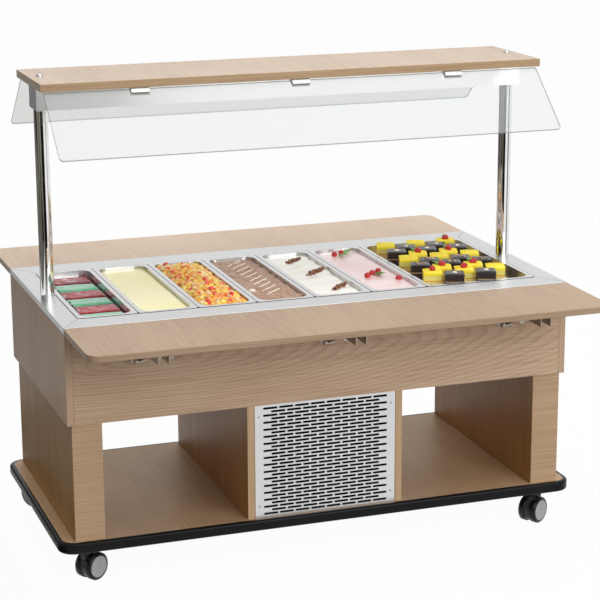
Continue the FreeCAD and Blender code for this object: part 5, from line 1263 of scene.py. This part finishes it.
def makeCakes():
    low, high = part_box("cakes")
    tall = high.z - low.z + cakes["rise"]
    middleX, _ = cakePlace(2, 0)

    def ribs(u, v):
        return 0.0009 * math.sin(v * 26) + 0.0004 * noise.noise(Vector((u * 4, v * 4, 1.0)))

    def ripple(u, v):
        return 0.0005 * noise.noise(Vector((u * 2.5, v * 2.5, 7.0)))

    kinds = (
        ("lemon_cake", 0.0, cakes["lemonTop"], 0.0004, ribs, lemonBody, lemonTop, (6, 40)),
        ("chocolate_cake", 1.0, cakes["chocolateTop"], cakes["overhang"], ripple, chocolateBody, chocolateTop,
         (12, 12)),
    )
    for label, kind, topHigh, over, relief, bodyFinish, topFinish, cells in kinds:
        wide, deep = cakes["wide"] - cakes["gap"], cakes["deep"] - cakes["gap"]
        bodySize = (wide, deep, tall - topHigh)
        topSize = (wide + 2 * over, deep + 2 * over, topHigh)

        def bodyShape(build):
            slabShape(build, (0, 0, 0), bodySize, cakes["turn"], lambda u, v: 0.0, (8, 8), 0.0)

        def topShape(build):
            slabShape(build, (0, 0, tall - topHigh), topSize, cakes["turn"], relief, cells, cakes["rounding"])

        size = {key: cakes[key] for key in ("columns", "rows", "pitchX", "pitchY")}
        size.update({"kind": kind, "middle": (middleX, 0.0, low.z)})
        sides = growMesh(label + "Body", size, bodyFinish, repeatCakes, shapeMesh(label + "One", bodyShape))
        piece = putPiece(label + "_bodies", sides, "cake_pan_set")
        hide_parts("cakes")
        tops = growMesh(label + "Top", size, topFinish, repeatCakes, shapeMesh(label + "OneTop", topShape))
        putPiece(label + "_tops", tops, "cake_pan_set", smoothBelow=60)


makeCakes()
print("cakes done")


# berries, leaves, dabs and shavings on top of things
berryRed = berryFinish("berryRed", "e83238", "c01c26")
leafGreen = leafFinish("mintLeaf")
dabCream = creamyFinish("dabCream", "fffae6", "f7edd2", roughness=0.25)


def drupelets(board, spots, size):
    # a berry is a small egg set all over with round drupelets
    core = board.add("GeometryNodeMeshIcoSphere", {}, {"Radius": 1.0, "Subdivisions": 3})
    egg = place(board, core, (0, 0, 0), (0, 0, 0), size["egg"])
    beads = board.add("GeometryNodeMeshIcoSphere", {}, {"Radius": size["bead"], "Subdivisions": 2})
    seats = board.add("GeometryNodeMeshToPoints", {}, {"Mesh": egg})
    beads = board.add("GeometryNodeInstanceOnPoints", {}, {"Points": seats, "Instance": beads})
    berry = board.add("GeometryNodeRealizeInstances", {}, {"Geometry": join(board, beads, egg)})
    chance = {0: (-0.4, 1.2, -3.1), 1: (0.4, 1.9, 3.1), 8: size["seed"]}
    turns = board.add("FunctionNodeRandomValue", {"data_type": "FLOAT_VECTOR"}, chance)
    return board.add("GeometryNodeInstanceOnPoints", {}, {"Points": spots, "Instance": berry, "Rotation": turns})


leaf = {"steps": 10, "lobes": 0.08, "curl": 0.35, "thickness": 0.0005}


def leafShape(build, root, heading, length, wide):
    # a pointed leaf folded along its middle and curling up to its tip
    lines = []
    for step in range(leaf["steps"] + 1):
        share = step / leaf["steps"]
        half = wide / 2 * math.sin(math.pi * share ** 0.8) ** 0.9 * (1 + leaf["lobes"] * (-1) ** step)
        run = length * share
        lift = length * leaf["curl"] * share * share * 0.55
        line = []
        for side in (-1, -0.5, 0, 0.5, 1):
            local = Vector((run, side * half, lift + abs(side) * half * 0.35))
            line.append(build.verts.new(Vector(root) + Matrix.Rotation(heading, 3, "Z") @ local))
        lines.append(line)
    for near, far in zip(lines, lines[1:]):
        for step in range(4):
            build.faces.new((near[step], far[step], far[step + 1], near[step + 1]))


def putLeaves(name, leaves, body):
    # leaves: root, heading, length and width of each
    def fill(build):
        for root, heading, length, wide in leaves:
            leafShape(build, root, heading, length, wide)
    mesh = shapeMesh(name, fill)
    mesh.materials.append(leafGreen)
    carrier = bpy.data.objects.new(name + "_carrier", mesh)
    blade = carrier.modifiers.new("bladeThickness", "SOLIDIFY")
    blade.thickness = leaf["thickness"]
    blade.offset = 0.0
    putPiece(name, finishedMesh(carrier), body, smoothBelow=70)


def putBerries(name, places, egg, body, seed):
    size = {"egg": egg, "bead": egg[0] * 0.30, "seed": seed}
    mesh = growMesh(name, size, berryRed, drupelets, pointMesh(name + "Spots", places))
    putPiece(name, mesh, body, smoothBelow=80)


# places over the mousse; a leaf has its root, heading, length and width
mousseFruit = {
    "egg": (0.0064, 0.0064, 0.0080),
    "berries": [
        (0.2234, 0.1937, 0.0055), (0.2486, 0.2067, 0.0055), (0.2200, -0.0800, 0.0055),
        (0.2440, -0.0560, 0.0055), (0.2680, -0.0400, 0.0055), (0.2950, -0.1290, 0.003),
    ],
    "leaves": [
        ((0.2560, 0.2000, 0.004), 0.65, 0.036, 0.022), ((0.2300, 0.1830, 0.003), -0.4, 0.032, 0.020),
        ((0.2460, -0.0680, 0.004), -0.7, 0.034, 0.021), ((0.2580, -0.0520, 0.004), -1.4, 0.030, 0.018),
    ],
}
# which cakes, by column and row, carry a berry and a leaf
cakeFruit = {
    "egg": (0.0072, 0.0060, 0.0088), "berryHigh": 0.0045, "leafHigh": 0.004, "leafLong": 0.024, "leafWide": 0.015,
    "berries": [(0, 0), (1, 1), (1, 3), (2, 0), (3, 1), (3, 3), (4, 4)],
    "leaves": [(1, 1), (1, 3), (3, 1), (3, 3), (4, 4)],
}
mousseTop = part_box("berry_mousse")[1].z
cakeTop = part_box("cakes")[1].z + cakes["rise"]


def onMousse(spot):
    return spot[0], spot[1], mousseTop + spot[2]


def onCake(spot, height, right=0.0, behind=0.0):
    x, y = cakePlace(*spot)
    return x + right, y + behind, cakeTop + height


def putFruit():
    berries = [onMousse(spot) for spot in mousseFruit["berries"]]
    putBerries("mousse_berries", berries, mousseFruit["egg"], "pan_6_set", 4)
    putLeaves("mousse_leaves", [(onMousse(root), *rest) for root, *rest in mousseFruit["leaves"]], "pan_6_set")
    berries = [onCake(spot, cakeFruit["berryHigh"]) for spot in cakeFruit["berries"]]
    putBerries("cake_berries", berries, cakeFruit["egg"], "cake_pan_set", 9)
    leaves = []
    for index, spot in enumerate(cakeFruit["leaves"]):
        root = onCake(spot, cakeFruit["leafHigh"], -0.004, 0.006)
        leaves.append((root, 2.2 - 0.3 * index, cakeFruit["leafLong"], cakeFruit["leafWide"]))
    putLeaves("cake_leaves", leaves, "cake_pan_set")


putFruit()


def dabShape(build, middle, radius, high, seed):
    # a dropped dab of cream: round, with a small off-centre peak
    rings, around = 6, 16
    lines = []
    for ring in range(rings):
        share = ring / rings
        size = radius * math.cos(share * math.pi / 2) * (1 + 0.1 * noise.noise(Vector((share * 3, seed, 0))))
        line = []
        for step in range(around):
            angle = 2 * math.pi * step / around
            stretch = 1 + 0.35 * math.cos(angle * 2 + seed)
            upwards = high * math.sin(share * math.pi / 2)
            spot = Vector((size * stretch * math.cos(angle), size * math.sin(angle), upwards))
            line.append(build.verts.new(Vector(middle) + spot + Vector((0.0008 * share, 0, 0))))
        lines.append(line)
    peak = build.verts.new(Vector(middle) + Vector((0.001, 0, high * 1.15)))
    for near, far in zip(lines, lines[1:]):
        for step in range(around):
            after = (step + 1) % around
            build.faces.new((near[step], near[after], far[after], far[step]))
    for step in range(around):
        build.faces.new((lines[-1][step], lines[-1][(step + 1) % around], peak))
    build.faces.new(list(reversed(lines[0])))


def putDabs(name, dabs, body):
    # dabs: middle, radius, height and a chance number of each
    def fill(build):
        for dab in dabs:
            dabShape(build, *dab)
    mesh = shapeMesh(name, fill)
    mesh.materials.append(dabCream)
    putPiece(name, mesh, body, smoothBelow=80)


crumbRows = (1, 2)   # the rows whose chocolate cakes carry crumbs, and the others a dab
chocolateSpots = [(c, r) for c in range(cakes["columns"]) for r in range(cakes["rows"]) if (c + r) % 2]
plainDabs = [spot for spot in chocolateSpots if spot[1] not in crumbRows]
crumbed = [spot for spot in chocolateSpots if spot[1] in crumbRows]
cakeDabs = [(Vector(onCake(spot, -0.0004)), 0.0065, 0.003, index * 1.7) for index, spot in enumerate(plainDabs)]
putDabs("cake_dabs", cakeDabs, "cake_pan_set")
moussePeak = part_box("chocolate_mousse")[1].z
putDabs("mousse_dab", [(Vector((-0.1290, -0.1105, moussePeak - 0.002)), 0.0085, 0.006, 1.0)], "pan_4_set")


def patchMesh(name, patches):
    # small level ellipses: middle, half length, half width and heading of each
    def fill(build):
        for middle, long, wide, heading in patches:
            ring = []
            for step in range(14):
                angle = 2 * math.pi * step / 14
                local = Vector((long * math.cos(angle), wide * math.sin(angle), 0))
                ring.append(build.verts.new(Vector(middle) + Matrix.Rotation(heading, 3, "Z") @ local))
            build.faces.new(ring)
    return shapeMesh(name, fill)


crumbs = {
    "apart": 0.0026, "density": 130000.0, "seed": 12, "lump": (0.0046, 0.0034, 0.0026), "roughScale": 500.0,
    "roughDepth": 0.0012, "least": (0.5, 0.5, 0.5), "most": (1.2, 1.0, 1.0),
}
crumbNuts = attributeFinish("crumbNuts", [
    (0.0, "5c3a26"), (0.4, "a57c58"), (0.75, "e3cfae"), (1.0, "f3ead6"),
], 0.4, 0.2)
nutGround = patchMesh("crumbGround", [(onCake(spot, 0.0008), 0.015, 0.011, -0.78) for spot in crumbed])
nuts = growMesh("cakeCrumbs", crumbs, crumbNuts, scatterChunks, nutGround)
putPiece("cake_crumbs", nuts, "cake_pan_set")

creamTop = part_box("cream")[1].z + 0.001
shavings = {
    "apart": 0.0036, "density": 80000.0, "seed": 21, "lump": (0.0120, 0.0052, 0.0016), "roughScale": 240.0,
    "roughDepth": 0.003, "least": (0.5, 0.6, 0.6), "most": (1.1, 1.1, 1.0),
}
shavingBrown = attributeFinish("chocolateShavings", [(0.0, "5a2c17"), (0.5, "8a4f2c"), (1.0, "c08a5c")], 0.45, 0.1)
shavingGround = patchMesh("shavingGround", [
    ((0.0899, 0.1772, creamTop), 0.042, 0.0125, 0.80), ((0.1060, 0.0298, creamTop), 0.054, 0.0120, 0.78),
    ((0.1080, -0.1560, creamTop), 0.050, 0.0095, 0.82),
])
curls = growMesh("creamShavings", shavings, shavingBrown, scatterChunks, shavingGround)
putPiece("cream_shavings", curls, "pan_5_set", smoothBelow=60)


# cream piped over the mousse in slanting strokes, one behind the other
piping = {
    "backY": 0.204, "pitch": 0.039, "strokes": 10, "middleX": -0.0810, "halfWide": 0.0270, "halfDeep": 0.0270,
    "thickness": 0.0037, "steps": 14, "samples": 44, "swellScale": 70.0,
}


def pipedStrokes():
    spots, links = [], []
    for stroke in range(piping["strokes"]):
        middleY = piping["backY"] - stroke * piping["pitch"]
        reach = 1 + 0.15 * noise.noise(Vector((stroke * 3.1, 7.0, 0.0)))
        for step in range(piping["steps"] + 1):
            share = (step / piping["steps"] * 2 - 1) * reach
            wobble = noise.noise(Vector((share * 1.7, stroke * 2.3, 0.0))) * 0.0022
            x = piping["middleX"] + share * piping["halfWide"] + wobble
            y = middleY + share * piping["halfDeep"] - wobble
            z = moussePeak + 0.0010 + 0.0010 * noise.noise(Vector((share * 3, stroke * 5.0, 1.0)))
            spots.append((x, y, z))
            if step:
                links.append((len(spots) - 2, len(spots) - 1))
    mesh = bpy.data.meshes.new("pipedStrokes")
    mesh.from_pydata(spots, links, [])
    return mesh


def pipeCream(board, ground, size):
    # a round bead swept along the line, thinner here and thicker there
    line = board.add("GeometryNodeMeshToCurve", {}, {"Mesh": ground})
    line = board.add("GeometryNodeResampleCurve", {}, {"Curve": line, "Count": size["samples"]})
    where = board.add("GeometryNodeInputPosition")
    swell = board.add("ShaderNodeTexNoise", {}, {"Vector": where, "Scale": size["swellScale"]})
    swollen = {"Curve": line, "Radius": size["radius"] * (0.35 + swell * 1.3)}
    line = board.add("GeometryNodeSetCurveRadius", {}, swollen)
    nozzle = board.add("GeometryNodeCurvePrimitiveCircle", {}, {"Resolution": 10, "Radius": 1.0})
    radius = board.add("GeometryNodeInputRadius")
    sweep = {"Curve": line, "Profile Curve": nozzle, "Fill Caps": True, "Scale": radius}
    return board.add("GeometryNodeCurveToMesh", {}, sweep)


nozzleSize = {"samples": piping["samples"], "radius": piping["thickness"] / 2, "swellScale": piping["swellScale"]}
piped = growMesh("pipedCream", nozzleSize, dabCream, pipeCream, pipedStrokes())
putPiece("piped_cream", piped, "pan_4_set", smoothBelow=80)
print("toppings done")


# floor, light and camera
studio = {
    "floorSize": 60.0, "floorShade": "716b62", "whiteShare": 0.80, "whiteStrength": 1.21, "skyStrength": 0.46,
}
# watts, width and depth, place, what it points at, and whether reflections show it
lamps = {
    "topLight": (78.0, (4.2, 3.4), (0.3, -0.9, 3.9), (0.0, 0.0, 0.6), True),
    "frontLight": (112.0, (3.2, 2.4), (1.5, -4.9, 2.3), (0.0, 0.0, 0.5), True),
    "backLight": (30.0, (3.0, 1.4), (0.6, 3.3, 3.0), (0.0, 0.3, 0.7), False),
}


def seesWhite(board):
    # 1 for the camera's rays, reflected ones and those through glass
    rays = board.add("ShaderNodeLightPath")
    kinds = rays.out("Is Camera Ray") + rays.out("Is Glossy Ray") + rays.out("Is Transmission Ray")
    return kinds.between(0.0, 1.0)


def floorFinish():
    # white to the camera and to reflections, while the object's shadow stays on it
    material, board = emptyMaterial("studioFloor")
    matt = board.add("ShaderNodeBsdfDiffuse", {}, {"Color": colour(studio["floorShade"])})
    white = board.add("ShaderNodeEmission", {}, {"Color": (1, 1, 1, 1), "Strength": studio["whiteStrength"]})
    share = seesWhite(board) * studio["whiteShare"]
    mixed = board.add("ShaderNodeMixShader", {}, {0: share, 1: matt, 2: white})
    board.add("ShaderNodeOutputMaterial", {}, {"Surface": mixed})
    return material


def makeStudio():
    half = studio["floorSize"] / 2
    mesh = bpy.data.meshes.new("floor")
    mesh.from_pydata([(-half, -half, 0), (half, -half, 0), (half, half, 0), (-half, half, 0)], [], [(0, 1, 2, 3)])
    mesh.materials.append(floorFinish())
    floor = bpy.data.objects.new("floor", mesh)
    bpy.context.scene.collection.objects.link(floor)

    world = bpy.data.worlds.new("studioWorld")
    bpy.context.scene.world = world
    world.use_nodes = True
    world.node_tree.nodes.clear()
    board = Board(world.node_tree)
    plain = board.add("ShaderNodeBackground", {}, {"Color": (1, 1, 1, 1), "Strength": studio["skyStrength"]})
    white = board.add("ShaderNodeBackground", {}, {"Color": (1, 1, 1, 1), "Strength": 1.0})
    mixed = board.add("ShaderNodeMixShader", {}, {0: seesWhite(board), 1: plain, 2: white})
    board.add("ShaderNodeOutputWorld", {}, {"Surface": mixed})


def softbox(name, power, size, stand, aim, reflected):
    lamp = bpy.data.lights.new(name, "AREA")
    lamp.shape = "RECTANGLE"
    lamp.size, lamp.size_y = size
    lamp.energy = power
    holder = bpy.data.objects.new(name, lamp)
    holder.location = stand
    holder.rotation_euler = (Vector(aim) - Vector(stand)).to_track_quat("-Z", "Y").to_euler()
    holder.visible_glossy = reflected
    bpy.context.scene.collection.objects.link(holder)


# dark cards round the set, for the bands on the chrome: two opposite corners, their darkest and palest shade,
# and whether they dim the matt surfaces too
cards = {
    "leftCard": ((-1.90, -1.60, 0.42), (-1.90, 2.20, 1.60), ("242220", "8c867c"), True),
    "leftFloorCard": ((-1.20, -0.45, 0.003), (-0.80, 1.30, 0.003), ("2a2117", "3a2f22"), True),
    "backLeftCard": ((-1.45, 0.80, 0.0), (-1.45, 5.00, 1.10), ("3a3a3a", "4c4c4c"), True),
    "frontLeftCard": ((-1.90, -1.60, 0.05), (-1.66, -2.85, 1.30), ("34302c", "8a8378"), False),
    "cameraCard": ((-1.66, -2.85, 0.0), (0.35, -3.00, 1.15), ("060606", "24211d"), False),
    "rightCard": ((1.90, -1.70, 0.0), (3.20, -1.70, 1.20), ("5a564e", "8a7c68"), False),
}


def darkCard(name, start, end, shades, shadesDiffuse):
    mesh = bpy.data.meshes.new(name)
    if start[2] == end[2]:
        turning = [(end[0], start[1], start[2]), (start[0], end[1], start[2])]
    else:
        turning = [(end[0], end[1], start[2]), (start[0], start[1], end[2])]
    mesh.from_pydata([start, turning[0], end, turning[1]], [], [(0, 1, 2, 3)])
    mesh.materials.append(cardFinish(name + "Paper", *shades))
    card = bpy.data.objects.new(name, mesh)
    bpy.context.scene.collection.objects.link(card)
    card.visible_camera = False
    card.visible_diffuse = shadesDiffuse
    card.visible_shadow = False
    card.visible_transmission = False


def cardFinish(name, dark, pale):
    # unlit paper, paler here and there
    material, board = emptyMaterial(name)
    where = board.add("ShaderNodeTexCoord").out("Object")
    shade = board.ramp(board.cloud(where, 1.6, 1.0), (0.40, dark), (0.60, pale))
    board.add("ShaderNodeOutputMaterial", {}, {"Surface": board.add("ShaderNodeEmission", {}, {"Color": shade})})
    return material


makeStudio()
for name, lamp in lamps.items():
    softbox(name, *lamp)
for name, card in cards.items():
    darkCard(name, *card)
print("studio done")

camera = {
    "position": (-1.6970, -4.9911, 1.994), "turn": 19.27, "dip": 14.48, "roll": -0.263,
    "focalPixels": 1937.8, "framePixels": 600, "sensor": 36.0,
}


def makeCamera():
    turn, dip, roll = (math.radians(camera[key]) for key in ("turn", "dip", "roll"))
    ahead = Vector((math.sin(turn) * math.cos(dip), math.cos(turn) * math.cos(dip), -math.sin(dip)))
    right = Vector((math.cos(turn), -math.sin(turn), 0))
    up = right.cross(ahead)
    side = right * math.cos(roll) + up * math.sin(roll)
    top = up * math.cos(roll) - right * math.sin(roll)
    lens = bpy.data.cameras.new("photoCamera")
    lens.sensor_width = camera["sensor"]
    lens.lens = camera["sensor"] * camera["focalPixels"] / camera["framePixels"]
    holder = bpy.data.objects.new("photoCamera", lens)
    turned = Matrix((side, top, -ahead)).transposed().to_4x4()
    holder.matrix_world = Matrix.Translation(camera["position"]) @ turned
    bpy.context.scene.collection.objects.link(holder)
    bpy.context.scene.camera = holder


makeCamera()
bpy.context.scene.view_settings.view_transform = "Standard"
